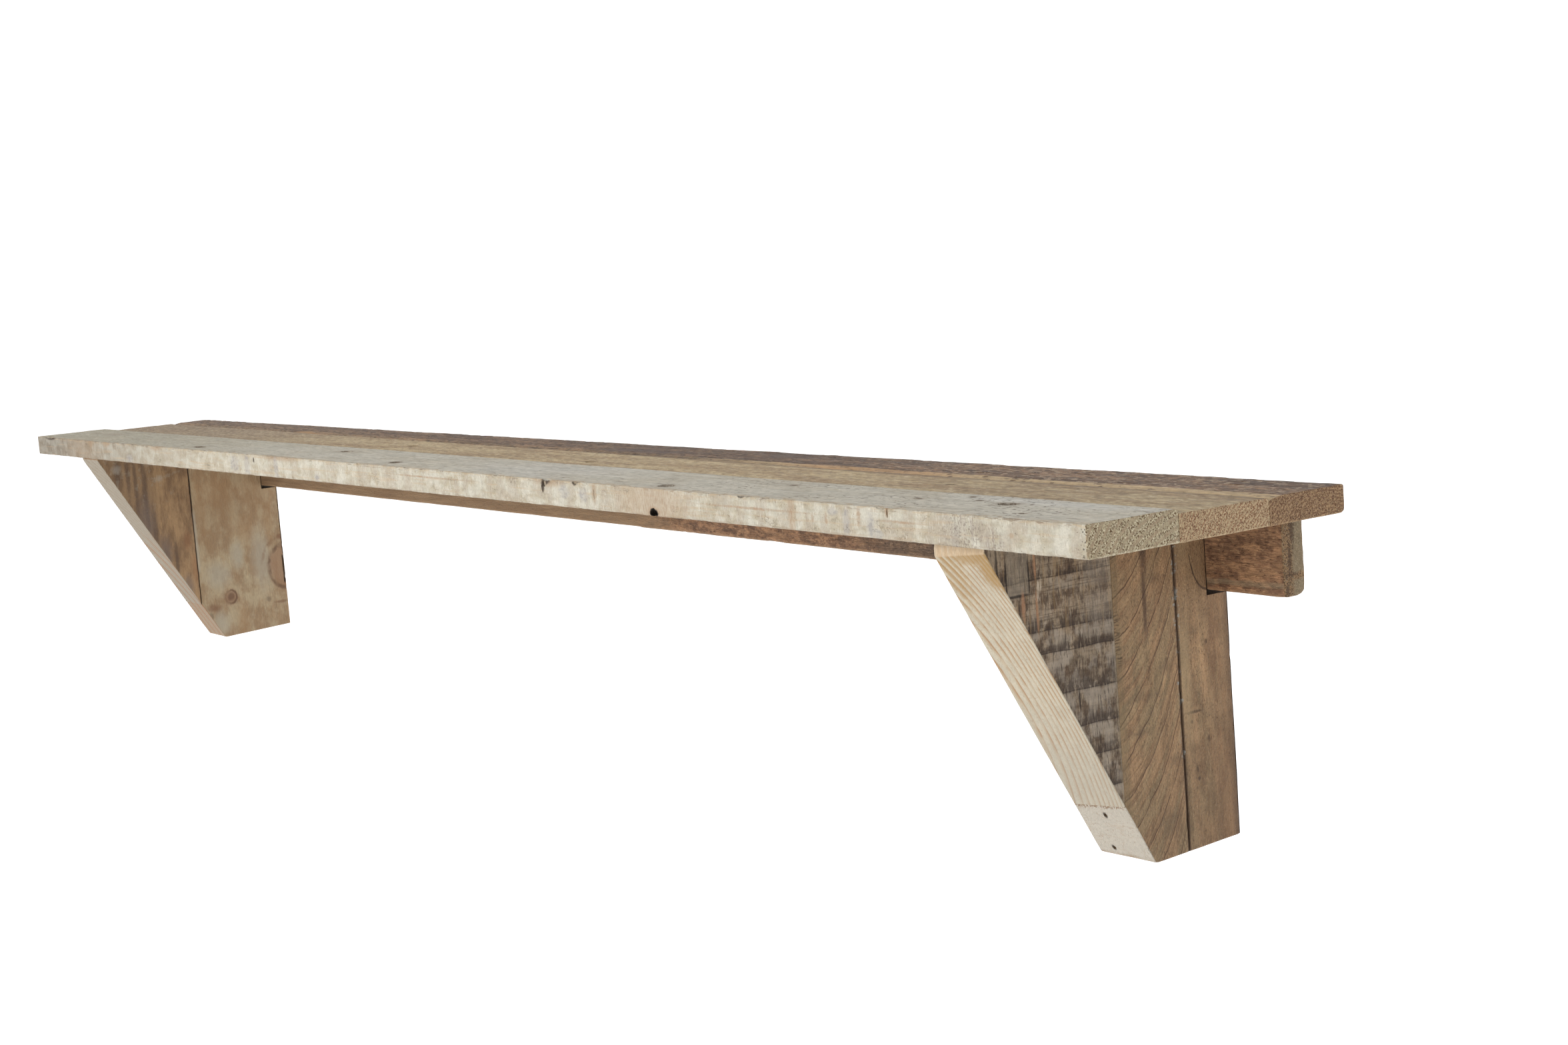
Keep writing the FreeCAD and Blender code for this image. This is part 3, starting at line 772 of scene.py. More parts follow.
class Finish:
    """One material, with the solid wood's place in millimetres and its nodes."""

    def __init__(self, name, specular):
        self.material = bpy.data.materials.new(name)
        self.material.use_nodes = True
        self.tree = self.material.node_tree
        self.shader = self.tree.nodes["Principled BSDF"]
        self.feed(self.shader, {"Specular IOR Level": specular})
        place = self.add("ShaderNodeTexCoord", {}, {}, "Object")
        self.place = self.vector("SCALE", place, Scale=METRE)
        self.x, self.y, self.z = (self.add("ShaderNodeSeparateXYZ", {}, {0: self.place}, axis)
                                  for axis in "XYZ")

    def feed(self, node, feeds):
        """Set or link a node's sockets."""
        for name, value in feeds.items():
            if isinstance(value, Shade):
                self.tree.links.new(value.socket, node.inputs[name])
            else:
                node.inputs[name].default_value = value

    def add(self, kind, settings, feeds, out=0):
        """A node: its settings come first, then the values or links of its sockets."""
        node = self.tree.nodes.new(kind)
        for name, value in settings.items():
            setattr(node, name, value)
        self.feed(node, feeds)
        return Shade(self, node.outputs[out])

    def maths(self, operation, *values):
        """A Math node."""
        return self.add("ShaderNodeMath", {"operation": operation}, dict(enumerate(values)))

    def vector(self, operation, *values, out=0, **named):
        """A Vector Math node."""
        feeds = {**dict(enumerate(values)), **named}
        return self.add("ShaderNodeVectorMath", {"operation": operation}, feeds, out)

    def counted(self, size, shift, place=None):
        """The place counted in cells of a size in millimetres, and shifted."""
        stretch = tuple(1 / part for part in size)
        return self.vector("MULTIPLY_ADD", place or self.place, stretch, shift)

    def grain(self, size, seed, detail=2.0, roughness=0.5, place=None):
        """Noise whose cells have a size in millimetres along each axis."""
        moved = self.counted(size, (seed * 17.3, seed * 9.1, seed * 23.7), place)
        feeds = {"Vector": moved, "Scale": 1.0, "Detail": detail, "Roughness": roughness}
        return self.add("ShaderNodeTexNoise", {}, feeds)

    def fibres(self, size, seed, detail=2.0):
        """Grain with its contrast drawn out to the full range."""
        return self.grain(size, seed, detail, 0.6).over(0.34, 0.66)

    def rag(self, size, seed, detail=3.0):
        """Raggedness for the rims of spots, as much below zero as above."""
        return 0.9 * (self.grain(size, seed, detail) - 0.5)

    def dots(self, size, seed):
        """Distance from the nearest of many scattered points, in cells of a size."""
        moved = self.counted(size, (seed * 5.3, seed * 3.1, seed * 7.7))
        return self.add("ShaderNodeTexVoronoi", {}, {"Vector": moved, "Scale": 1.0}, "Distance")

    def blend(self, share, base, over):
        """The second colour over the first, as far as share goes."""
        feeds = {0: share, 6: base, 7: over}
        return self.add("ShaderNodeMix", {"data_type": "RGBA"}, feeds, 2)

    def coats(self, colour, layers):
        """The colour under layers of (share, colour), laid on one after another."""
        for share, over in layers:
            colour = self.blend(share, colour, over)
        return colour

    def lighten(self, colour, factor):
        """The colour times a number that changes over the surface."""
        plain = colour if isinstance(colour, Shade) else colour[:3]
        return self.vector("SCALE", plain, Scale=factor)

    def away(self, centre, size):
        """Distance from a centre, counted in half sizes along each axis."""
        shift = tuple(-c / part for c, part in zip(centre, size))
        return self.vector("LENGTH", self.counted(size, shift), out="Value")

    def spots(self, rag, places, soft):
        """A mask of ragged patches; places are (centre, half size)."""
        mask = None
        for centre, size in places:
            patch = (self.away(centre, size) + rag).under(1 - soft, 1 + soft)
            mask = patch if mask is None else mask.most(patch)
        return mask

    def done(self, colour, roughness, height, relief, painted_shade=None):
        """Join colour, roughness and a height map, whose relief is in millimetres.

        The last argument is a mask of painted shade: places painted black, which throw no light
        back."""
        feeds = {"Height": height, "Distance": relief / METRE, "Strength": 1.0}
        bump = self.add("ShaderNodeBump", {}, feeds, "Normal")
        self.feed(self.shader, {"Base Color": colour, "Roughness": roughness, "Normal": bump})
        if painted_shade:
            # This black is painted shade, laid over the lit surface wherever the mask lies.
            black = self.add("ShaderNodeBsdfDiffuse", {}, {"Color": tone(20, 16, 14)})
            unshaded = Shade(self, self.shader.outputs[0])
            both = self.add("ShaderNodeMixShader", {}, {0: painted_shade, 1: unshaded, 2: black})
            self.feed(self.tree.nodes["Material Output"], {"Surface": both})
        return self.material


# ---- finishes of the boards ----------------------------------------------------------

def end_grain(f, base, rings, colours):
    """End grain over a base colour where a board's saw-cut ends show.

    rings is the growth rings' late wood from 0 to 1; colours are wood, late wood, pores
    and flecks."""
    wood, late, pore, fleck = colours
    end = abs(f.x).over(SHELF_END - 0.75, SHELF_END - 0.45)
    torn = f.grain((3, 2.6, 2.6), 62, detail=3.0, roughness=0.7)
    frayed = f.grain((2, 0.8, 0.8), 66) - 0.5
    open_wood = (1 - 0.8 * rings) * torn.over(0.22, 0.5)
    colour = f.blend(rings * torn.over(0.3, 0.6) * 0.8, wood, late)
    colour = f.lighten(colour, 0.64 + 0.5 * torn + 0.28 * f.fibres((3, 1.1, 1.1), 63))
    flakes = (f.dots((4, 1.3, 1.3), 64) + frayed).under(0.26, 0.44)
    pits = (f.dots((4, 1.2, 1.2), 65) + 1.3 * frayed).under(0.34, 0.46) * open_wood
    rim = f.z.under(UNDERSIDE + 0.5, UNDERSIDE + 1.6) * torn.over(0.44, 0.56)
    colour = f.coats(colour, [
        (flakes * open_wood * 0.8, fleck),
        (pits * 0.9, pore),
        (rim * 0.7, fleck),
    ])
    return f.blend(end, base, colour), end, pits


def growth(f, pith, spacing, wobble, seed):
    """Growth rings about a pith line along the shelf, 0 in early wood, 1 in late wood."""
    sway = f.grain((420, 46, 46), seed, detail=1.0)
    ragged = f.grain((30, 2.4, 2.4), seed + 1)
    flat = f.vector("MULTIPLY_ADD", f.place, (0, 1, 1), (0, -pith[0], -pith[1]))
    reach = f.vector("LENGTH", flat, out="Value") + wobble * sway + 1.1 * ragged
    phase = (reach / spacing).fraction()
    return phase.over(0.45, 0.72) * phase.under(0.9, 1.0)


def sawn_edge(f, rag):
    """The front board's sawn front: cream, rippled by the saw, smudged and stained."""
    y = SHELF_FRONT
    patches = f.grain((24, 30, 10), 19, detail=4.0, roughness=0.6)
    edge = f.blend(patches.over(0.38, 0.62), tone(198, 192, 175), tone(184, 173, 151))
    dull = f.blend(patches.over(0.38, 0.58), tone(155, 148, 134), tone(141, 130, 114))
    blocks = f.grain((13, 60, 26), 7)
    busy = 0.45 + 0.55 * f.x.over(-750, 100)
    edge = f.coats(edge, [
        (f.x.under(-880, -280), dull),
        (blocks.over(0.52, 0.57) * busy * 0.4, tone(182, 169, 153)),
        (blocks.under(0.42, 0.46) * busy * 0.3, tone(222, 217, 204)),
    ])
    ripple = f.fibres((3.2, 60, 26), 6, detail=3.0)
    soft = f.fibres((6, 30, 4), 9, detail=4.0)
    specks = f.fibres((1.1, 8, 1.1), 20)
    edge = f.lighten(edge, 1 - 0.09 * f.x.under(-840, -560))
    edge = f.lighten(edge, 0.94 + busy * (0.06 * ripple + 0.12 * soft + 0.1 * specks - 0.14))
    stain = f.grain((60, 20, 2.2), 8, detail=3.0)
    vein = f.grain((5, 20, 3.2), 10, detail=3.0)
    hair = abs(vein - 0.5).under(0.004, 0.014) * patches.over(0.56, 0.66)
    slanted = f.add("ShaderNodeCombineXYZ", {}, {0: f.x - 1.6 * f.z, 1: f.y, 2: f.z + 0.4 * f.x})
    strokes = f.grain((4.5, 20, 1.1), 23, detail=2.0, place=slanted)
    slash = f.grain((0.8, 30, 5), 11, detail=1.0)
    dot = f.grain((1.3, 9, 1.2), 12)
    upper = f.z.over(SHELF_TOP - 3.6, SHELF_TOP - 0.8)
    torn = f.grain((12, 6, 1.4), 13, detail=3.0)
    lower = f.z.under(UNDERSIDE + 0.8, UNDERSIDE + 3.0)
    tan_zone = f.spots(rag, [((-671, y, 45), (11, 6, 4)),
                             ((-523, y, 45), (14, 6, 4)), ((-203, y, 45), (34, 6, 3)),
                             ((300, y, 45), (22, 5, 4)), ((366, y, 38), (3, 4, 7)),
                             ((836, y, 36), (2, 4, 1.6)), ((-720, y, 45), (7, 5, 6))], 0.6)
    pink = f.spots(rag, [((444, y, 35), (46, 9, 14)), ((617, y, 36), (4, 6, 12))], 0.5)
    grey = f.spots(rag, [((-602, y, 31), (9, 5, 4)), ((-314, y, 36), (10, 5, 7)),
                         ((-125, y, 30), (5, 5, 4)), ((662, y, 41), (5, 5, 2.4)),
                         ((676, y, 35), (3.4, 5, 8)), ((702, y, 34), (3.6, 5, 8)),
                         ((709, y, 29), (5, 5, 3.4)), ((350, y, 37), (6, 5, 5)),
                         ((322, y, 38), (7, 5, 5)), ((-283, y, 36), (6, 6, 9)),
                         ((-215, y, 36), (5, 6, 9))], 0.5)
    striped = f.spots(rag, [((792, y, 35), (18, 6, 14)), ((820, y, 30), (8, 6, 8))], 0.4)
    drips = f.spots(rag, [((690, y, 39), (1.8, 4, 6)), ((640, y, 36), (1.4, 4, 2.6)),
                          ((655, y, 36), (1.6, 4, 3.2)), ((719, y, 44), (1.6, 4, 3)),
                          ((731, y, 38), (19, 4, 0.8)), ((574, y, 38.2), (60, 4, 0.8)),
                          ((100, y, 39.5), (70, 4, 0.7))], 0.6)
    hollow = f.spots(rag * 0.6, [((294.5, y, 44.6), (5.5, 4.5, 2.4)), ((290, y, 41), (2.4, 2.6, 5)),
                                 ((338.5, y, 46), (4, 3, 2.6)), ((-856, y, 46), (15, 5, 2.6)),
                                 ((-266, y, 41), (1.6, 2, 2.4)),
                                 ((559, y, 46), (4, 1.5, 1.5))], 0.4)
    corner = f.x.over(SHELF_END - 6, SHELF_END - 3) * f.dots((2.2, 9, 1.7), 21).under(0.24, 0.36)
    hollow = hollow.most(corner * 0.8)
    edge = f.coats(edge, [
        (stain.over(0.57, 0.7) * 0.35, tone(186, 160, 128)),
        (hair * 0.3, tone(142, 118, 94)),
        (strokes.over(0.62, 0.7) * patches.over(0.4, 0.6) * 0.35, tone(146, 128, 108)),
        (slash.over(0.64, 0.74) * busy * 0.4, tone(160, 142, 122)),
        (slash.under(0.26, 0.36) * busy * 0.4, tone(234, 229, 214)),
        (dot.over(0.68, 0.74) * 0.6, tone(112, 94, 76)),
        (upper * torn.over(0.46, 0.58) * 0.45, tone(184, 160, 126)),
        (upper * torn.under(0.36, 0.42) * 0.6, tone(116, 94, 72)),
        (lower * torn.over(0.46, 0.64) * 0.45, tone(150, 126, 102)),
        (f.spots(rag, [((-748, y, 36), (46, 8, 16))], 0.8) * 0.3, tone(160, 130, 98)),
        (tan_zone * 0.5, tone(160, 130, 98)),
        (pink * 0.6, tone(180, 159, 134)),
        (pink * slash.over(0.5, 0.68) * 0.45, tone(150, 120, 94)),
        (grey * 0.5, tone(174, 169, 163)),
        (grey * vein.over(0.5, 0.58) * 0.4, tone(136, 133, 134)),
        (striped * ripple.over(0.4, 0.6) * 0.5, tone(150, 138, 128)),
        (striped * dot.over(0.52, 0.64) * 0.5, tone(120, 106, 96)),
        (drips * (0.2 + 0.5 * soft), tone(158, 124, 92)),
        (hollow * 0.9, tone(66, 54, 46)),
    ])
    return edge, 0.5 * ripple + 0.3 * soft + 0.3 * specks - 0.8 * hair - 0.5 * corner


def weathered_top(f, rag, rings):
    """The front board's top: smooth grey-beige on the left, bluish and marked on the right."""
    clouds = f.grain((70, 26, 12), 4, detail=4.0)
    top = f.blend(f.x.under(-700, -100), tone(199, 193, 178), tone(180, 173, 154))
    bluish = f.grain((260, 60, 60), 14, detail=1.0).over(0.42, 0.62) * f.x.over(-100, 500)
    top = f.coats(top, [
        (clouds.over(0.42, 0.64) * 0.4, tone(184, 172, 150)),
        (bluish * 0.6, tone(204, 202, 196)),
    ])
    scales = f.fibres((9, 4.2, 4), 1, detail=3.0)
    threads = f.fibres((60, 6, 4), 2, detail=3.0)
    top = f.lighten(top, 0.76 + 0.16 * threads + 0.22 * scales)
    marks = f.grain((5, 2.6, 4), 15, detail=3.0)
    marked = f.x.over(380, 560) * f.grain((60, 40, 40), 16).over(0.36, 0.56)
    ticks = f.grain((16, 2.4, 4), 17)
    shift = f.grain((14, 5, 4), 18, detail=3.0)
    crack = abs(f.grain((70, 5, 4), 22) - 0.5).under(0.004, 0.014) * shift.over(0.5, 0.58)
    near_front = (f.y - SHELF_FRONT).under(1.5, 9)
    t = SHELF_TOP
    holes = [((444, -191, t), (8, 5.2, 4)), ((783, -161.5, t), (7.8, 4.8, 5)),
             ((826, -187, t), (2.8, 2.3, 3)), ((545, -151.5, t), (4, 2.4, 3)),
             ((730, -146, t), (3.4, 2, 3)), ((700, -165.5, t), (4.5, 1.8, 3)),
             ((0, -186, t), (8, 5, 3)), ((-170, -153, t), (9.5, 4, 3)),
             ((-443, -188, t), (11.5, 4.2, 3)), ((772, -135.6, t - 1), (8, 3.4, 3)),
             ((750, -156.5, t), (4, 1.8, 2))]
    rims = [(centre, (size[0] * 1.8, size[1] * 1.8, 3)) for centre, size in holes]
    knife = f.spots(0.3 * rag, [((782, -193, t), (0.9, 15, 3)),
                                ((640, -188, t), (0.9, 14, 3))], 0.5)
    spot = f.spots(rag, [((-780, -155, t), (22, 9, 4))], 0.8)
    top = f.coats(top, [
        (rings * 0.1, tone(170, 156, 132)),
        (marks.over(0.57, 0.65) * (0.12 + 0.75 * marked), tone(104, 90, 76)),
        (ticks.over(0.64, 0.74) * 0.55, tone(126, 110, 92)),
        (ticks.under(0.28, 0.36) * 0.45, tone(224, 219, 206)),
        (crack * 0.6, tone(112, 96, 80)),
        (near_front * shift.over(0.42, 0.58) * 0.6, tone(188, 162, 128)),
        (f.spots(rag, holes, 0.3) * 0.9, tone(72, 52, 36)),
        (f.spots(rag, rims, 0.6) * 0.3, tone(140, 122, 100)),
        (knife * 0.4, tone(128, 112, 96)),
        (spot * 0.4, tone(152, 134, 116)),
    ])
    return top, 0.5 * scales + 0.4 * threads - 0.7 * marks.over(0.6, 0.68) - 0.6 * crack


def pale_board():
    """The front board: weathered to a pale grey, its edge sawn across and stained."""
    f = Finish("pale_sawn_board", specular=0.25)
    rings = growth(f, (-120, -22), 5.6, 12, 3)
    rag = f.rag((2.6, 2.6, 2.0), 5)
    edge, edge_height = sawn_edge(f, rag)
    top, top_height = weathered_top(f, rag, rings)
    front = (f.y - SHELF_FRONT).under(0.7, 2.2)
    colour = f.blend(front, top, edge)
    below = f.z.under(UNDERSIDE + 0.4, UNDERSIDE + 0.8)
    rear_arris = (f.y - FRONT_JOINT[1]).over(-3.5, -0.8) * f.x.over(500, 800)
    knot_place = (KNOT_X, SHELF_FRONT + 8, UNDERSIDE + KNOT_RISE)
    knot = f.away(knot_place, (KNOT_WIDTH, 22, KNOT_HEIGHT)) + 0.8 * rag
    colour = f.coats(colour, [
        (below * (1 - front), f.lighten(top, 0.86)),
        (rear_arris * 0.5, tone(160, 134, 102)),
        (knot.under(1.3, 2.2) * 0.45, tone(158, 124, 94)),
        (knot.under(1.05, 1.35) * 0.96, tone(22, 17, 14)),
    ])
    ends = (tone(184, 170, 140), tone(160, 138, 112), tone(100, 72, 44), tone(230, 218, 190))
    colour, end, pores = end_grain(f, colour, rings, ends)
    height = front * edge_height + (1 - front) * top_height - 0.35 * end * pores
    return f.done(colour, 0.72, height, relief=0.4)


def behind(f, joint):
    """How far a place lies behind the joint between two boards."""
    run = (joint[1] - joint[0]) / (2 * SHELF_END)
    return f.y - (joint[0] + joint[1]) / 2 - run * f.x


def tan_board():
    """The middle board: planed tan wood with fine wavy grain."""
    f = Finish("tan_board", specular=0.3)
    rings = growth(f, (7, -37), 2.4, 14, 23)
    scales = f.fibres((5.5, 2.7, 4), 21, detail=3.0)
    threads = f.fibres((44, 4.5, 4), 22, detail=3.0)
    fine = f.fibres((14, 0.9, 0.9), 25)
    clouds = f.grain((110, 16, 16), 24, detail=4.0, roughness=0.6)
    colour = f.blend(clouds.over(0.38, 0.62), tone(198, 175, 135), tone(171, 144, 107))
    colour = f.coats(colour, [
        (f.x.under(-700, -200) * 0.75, tone(150, 130, 108)),
        (rings * 0.2, tone(158, 134, 102)),
    ])
    colour = f.lighten(colour, (0.62 + 0.12 * threads + 0.32 * scales + 0.14 * fine)
                       * (1 - 0.13 * f.x.over(450, 750)))
    ticks = f.grain((6.5, 2.5, 3), 26, detail=3.0)
    streak = f.grain((60, 4, 3), 27, detail=3.0)
    rag = f.rag((2.6, 2.6, 2.0), 28)
    t = MIDDLE_HIGH[HIGH]
    holes = [((183, -101, t), (7, 4, 3)), ((-177, -83, t), (9, 4.4, 3)),
             ((640, -92, t), (6, 2.4, 3)), ((-250, -118, t), (16, 6, 3))]
    rear_arris = behind(f, REAR_JOINT).over(-9, -4)
    colour = f.coats(colour, [
        (ticks.over(0.56, 0.62) * 0.42, tone(108, 84, 58)),
        (ticks.under(0.37, 0.43) * 0.4, tone(220, 202, 166)),
        (streak.over(0.6, 0.68) * 0.5, tone(132, 108, 80)),
        (f.spots(rag, holes, 0.5) * 0.7, tone(98, 80, 60)),
        (rear_arris * f.x.over(150, 400) * 0.55, tone(112, 88, 62)),
    ])
    ends = (tone(191, 166, 130), tone(138, 92, 64), tone(108, 64, 38), tone(214, 190, 152))
    colour, end, pores = end_grain(f, colour, rings, ends)
    height = 0.6 * scales + 0.5 * threads + 0.3 * fine - 0.8 * ticks.over(0.6, 0.7)
    return f.done(colour, 0.6 + 0.2 * fine, height - 0.35 * end * pores, relief=0.4)


# Places of the short cracks in the rear board's waney arris.
WANE_CRACKS = ((499, -47), (588, -51), (594, -55), (628, -52), (657, -51), (660, -55), (701, -57),
               (743, -53), (748, -57))


def dark_board():
    """The rear board: grey-brown, streaky, with a tan waney arris at its front."""
    f = Finish("dark_waney_board", specular=0.3)
    rings = growth(f, (-12, -30), 2.2, 9, 33)
    scales = f.fibres((6, 2.8, 4), 31, detail=3.0)
    threads = f.fibres((40, 4.5, 4), 32, detail=4.0)
    fine = f.fibres((14, 0.9, 0.9), 35)
    clouds = f.grain((120, 14, 11), 34, detail=4.0, roughness=0.6)
    colour = f.blend(clouds.over(0.36, 0.64), tone(144, 111, 81), tone(102, 75, 53))
    colour = f.blend(f.x.under(-700, -200) * 0.4, colour, tone(152, 128, 104))
    colour = f.lighten(colour, 0.42 + 0.24 * threads + 0.5 * scales + 0.14 * fine)
    dash = f.grain((9, 2.8, 3), 36, detail=3.0)
    fleck = f.grain((7, 2.6, 3), 37, detail=3.0)
    flecked = 0.25 + 0.75 * f.x.over(380, 640)
    inward = behind(f, REAR_JOINT) + 5 * (clouds - 0.5)
    band = inward.under(9.6, 11.4) * (0.2 + 0.8 * f.x.over(200, 420))
    tan = f.blend(f.spots(0.6 * (clouds - 0.5), [((492, -48, 43), (90, 18, 9))], 0.6),
                  tone(204, 178, 138), tone(198, 160, 116))
    tan = f.lighten(tan, 0.68 + 0.2 * threads + 0.2 * scales)
    tan = f.blend(dash.over(0.6, 0.7) * 0.8, tan, tone(80, 60, 44))
    rag = f.rag((4, 2.6, 2.0), 38)
    t = REAR_HIGH[HIGH]
    cracks = [((x, y, t - 1), (2.3, 1.3, 4)) for x, y in WANE_CRACKS]
    knot = f.spots(rag, [((-543, -42, t), (20, 7, 5)), ((-220, -8, t), (22, 5, 5)),
                         ((160, -34, t), (60, 10, 5)), ((350, -22, t), (34, 8, 5))], 0.5)
    scratch = f.spots(rag, [((-520, -42, t), (22, 3, 4)), ((-480, -45, t), (40, 2, 4))], 0.5)
    colour = f.coats(colour, [
        (dash.over(0.54, 0.59) * 0.75, tone(60, 43, 32)),
        (fleck.over(0.57, 0.62) * flecked * 0.75, tone(187, 164, 136)),
        (band * 0.85, tan),
        (f.spots(1.4 * rag, cracks, 0.3) * 0.8, tone(84, 56, 36)),
        (knot * 0.75, tone(92, 74, 64)),
        (scratch * 0.6, tone(190, 148, 100)),
    ])
    ends = (tone(162, 131, 97), tone(104, 66, 44), tone(88, 52, 32), tone(188, 156, 116))
    colour, end, pores = end_grain(f, colour, rings, ends)
    height = 0.6 * scales + 0.7 * threads - 0.9 * dash.over(0.58, 0.68) - 0.35 * end * pores
    return f.done(colour, 0.58 + 0.22 * fine, height, relief=0.5)


def rail_wood():
    """The rail: smooth tan-brown on the left, mottled brown on the right."""
    f = Finish("brown_rail", specular=0.28)
    fine = f.fibres((6, 1.0, 1.0), 41, detail=3.0)
    threads = f.fibres((44, 3, 3), 42, detail=3.0)
    smooth = f.lighten(tone(152, 124, 94), 0.76 + 0.18 * threads + 0.18 * fine)
    smooth = f.blend(f.grain((70, 14, 8), 43, detail=3.0).over(0.42, 0.62) * 0.5, smooth,
                     tone(128, 100, 74))
    mottle = f.grain((9, 4, 5), 44, detail=5.0, roughness=0.7)
    blotch = f.grain((24, 12, 11), 45, detail=4.0)
    rough = f.blend(mottle.over(0.38, 0.62), tone(168, 128, 96), tone(114, 84, 64))
    rough = f.coats(rough, [
        (blotch.over(0.5, 0.62) * 0.45, tone(178, 138, 102)),
        (blotch.under(0.34, 0.46) * 0.45, tone(96, 74, 60)),
    ])
    rough = f.lighten(rough, 0.72 + 0.22 * threads + 0.24 * fine)
    dusky = (f.x + 60 * (blotch - 0.5)).over(405, 480) * f.x.under(730, 800)
    dusk = f.lighten(tone(100, 86, 73), 0.6 + 0.5 * fine + 0.3 * threads)
    rough = f.blend(dusky * 0.65, rough, dusk)
    curl = f.grain((9, 4, 1.8), 55, detail=4.0, roughness=0.7)
    rough = f.lighten(rough, 0.82 + 0.3 * curl.over(0.36, 0.64))
    nick = f.grain((3.4, 1.4, 1.2), 50, detail=3.0)
    rough = f.coats(rough, [
        (nick.over(0.6, 0.67) * 0.6, tone(60, 44, 34)),
        (nick.under(0.32, 0.4) * 0.45, tone(196, 162, 124)),
    ])
    worn = f.x + 120 * (blotch - 0.5)
    colour = f.blend(worn.over(110, 200), smooth, rough)
    beyond = f.x.over(RIGHT_HIGH[ACROSS] - 4, RIGHT_HIGH[ACROSS]) * f.y.under(-12, -5)
    colour = f.lighten(colour, 1 + beyond * (0.46 + 0.3 * f.z.under(-22, -12)))
    wave = f.z + 7 * (f.grain((16, 9, 9), 46) - 0.5)
    streak = beyond * wave.between(-21, -17.5, 1.2)
    arris = f.z.under(RAIL_LOW[HIGH] + 0.8, RAIL_LOW[HIGH] + 2.6)
    end = abs(f.x).over(RAIL_HIGH[ACROSS] - 0.75, RAIL_HIGH[ACROSS] - 0.4)
    torn = f.grain((3, 2.5, 3), 48, detail=3.0)
    frayed = f.grain((2, 0.8, 0.8), 54) - 0.5
    heart = (f.y + 4 * frayed).under(-12, -8)
    heart = heart.most(wave.between(-15.5, -11.5, 1.2))
    stub = f.blend(heart, tone(152, 134, 106), tone(161, 129, 93))
    stub = f.lighten(stub, 0.6 + 0.5 * torn + 0.2 * f.fibres((3, 0.9, 0.9), 52))
    pores = (f.dots((4, 0.9, 1.1), 47) + frayed).under(0.32, 0.46) * (0.2 + 0.8 * heart)
    stub = f.blend(pores * 0.85, stub, tone(94, 70, 50))
    flakes = (f.dots((4, 1.3, 1.3), 53) + frayed).under(0.24, 0.38)
    stub = f.blend(flakes * 0.28, stub, tone(206, 190, 158))
    e = RAIL_HIGH[ACROSS]
    checks = f.spots(4 * frayed, [((e, -10, 15), (4, 2.0, 9)), ((e, -12.5, -3), (4, 1.6, 12)),
                                  ((e, -15.4, -22), (4, 1.6, 5)),
                                  ((e, -11, -12.5), (4, 6, 1.2))], 0.4)
    stub = f.blend(checks * 0.75, stub, tone(84, 62, 46))
    colour = f.coats(colour, [
        (beyond * 0.12, tone(124, 104, 82)),
        (streak * 0.5, tone(168, 150, 122)),
        (arris * 0.4, tone(172, 140, 106)),
        (end, stub),
    ])
    height = 0.4 * fine + 0.5 * threads + 0.5 * mottle * f.x.over(110, 200)
    height = height - 0.5 * nick.over(0.6, 0.68) - 0.6 * end * pores
    return f.done(colour, 0.6 + 0.2 * fine, height, relief=0.5)


# ---- finishes of the brackets --------------------------------------------------------

def cut_face(f, bracket):
    """A mask of a bracket's diagonal saw cut."""
    side = bracket.sides(0, 0)["diagonal"]
    moved = f.vector("SUBTRACT", f.place, tuple(side.point))
    return f.vector("DOT_PRODUCT", moved, tuple(side.inward), out="Value").under(0.35, 0.75)


def plan_rings(f, pith, wobble, seed):
    """Distance from a pith line that stands upright, swaying a little with height."""
    sway = f.grain((60, 60, 150), seed, detail=1.0)
    flat = f.vector("MULTIPLY_ADD", f.place, (1, 1, 0), (-pith[0], -pith[1], 0))
    return f.vector("LENGTH", flat, out="Value") + wobble * (sway - 0.5)


def notch_shadow(f):
    """The notch's floor and wall under the rail, where black is painted as shade."""
    floor, wall = RAIL_LOW[HIGH] - NOTCH_GAP, RAIL_LOW[DEEP]
    return f.z.over(floor - 0.3, floor + 0.1) * f.y.over(wall - 0.9, wall - 0.2)


def fresh_cut(f, rings):
    """Newly sawn pine: pale early wood that deepens into a tan, dark-edged late wood."""
    speck = f.fibres((1.0, 1.0, 3.0), 71)
    strength = f.grain((5, 7, 60), 74).over(0.34, 0.6)
    soft = f.fibres((7, 9, 16), 76)
    colour = f.lighten(tone(198, 188, 167), 0.84 + 0.1 * speck + 0.1 * soft)
    band = rings.over(0.3, 0.85) * rings.under(0.9, 0.99)
    rim = rings.between(0.78, 0.9, 0.06)
    colour = f.coats(colour, [
        (band * (0.35 + 0.55 * strength), tone(176, 150, 118)),
        (rim * (0.2 + 0.7 * strength), tone(164, 126, 90)),
    ])
    flecks = f.grain((1.1, 1.1, 2.0), 77, detail=1.0).over(0.62, 0.72)
    return f.blend(flecks * 0.4, colour, tone(150, 126, 102)), speck


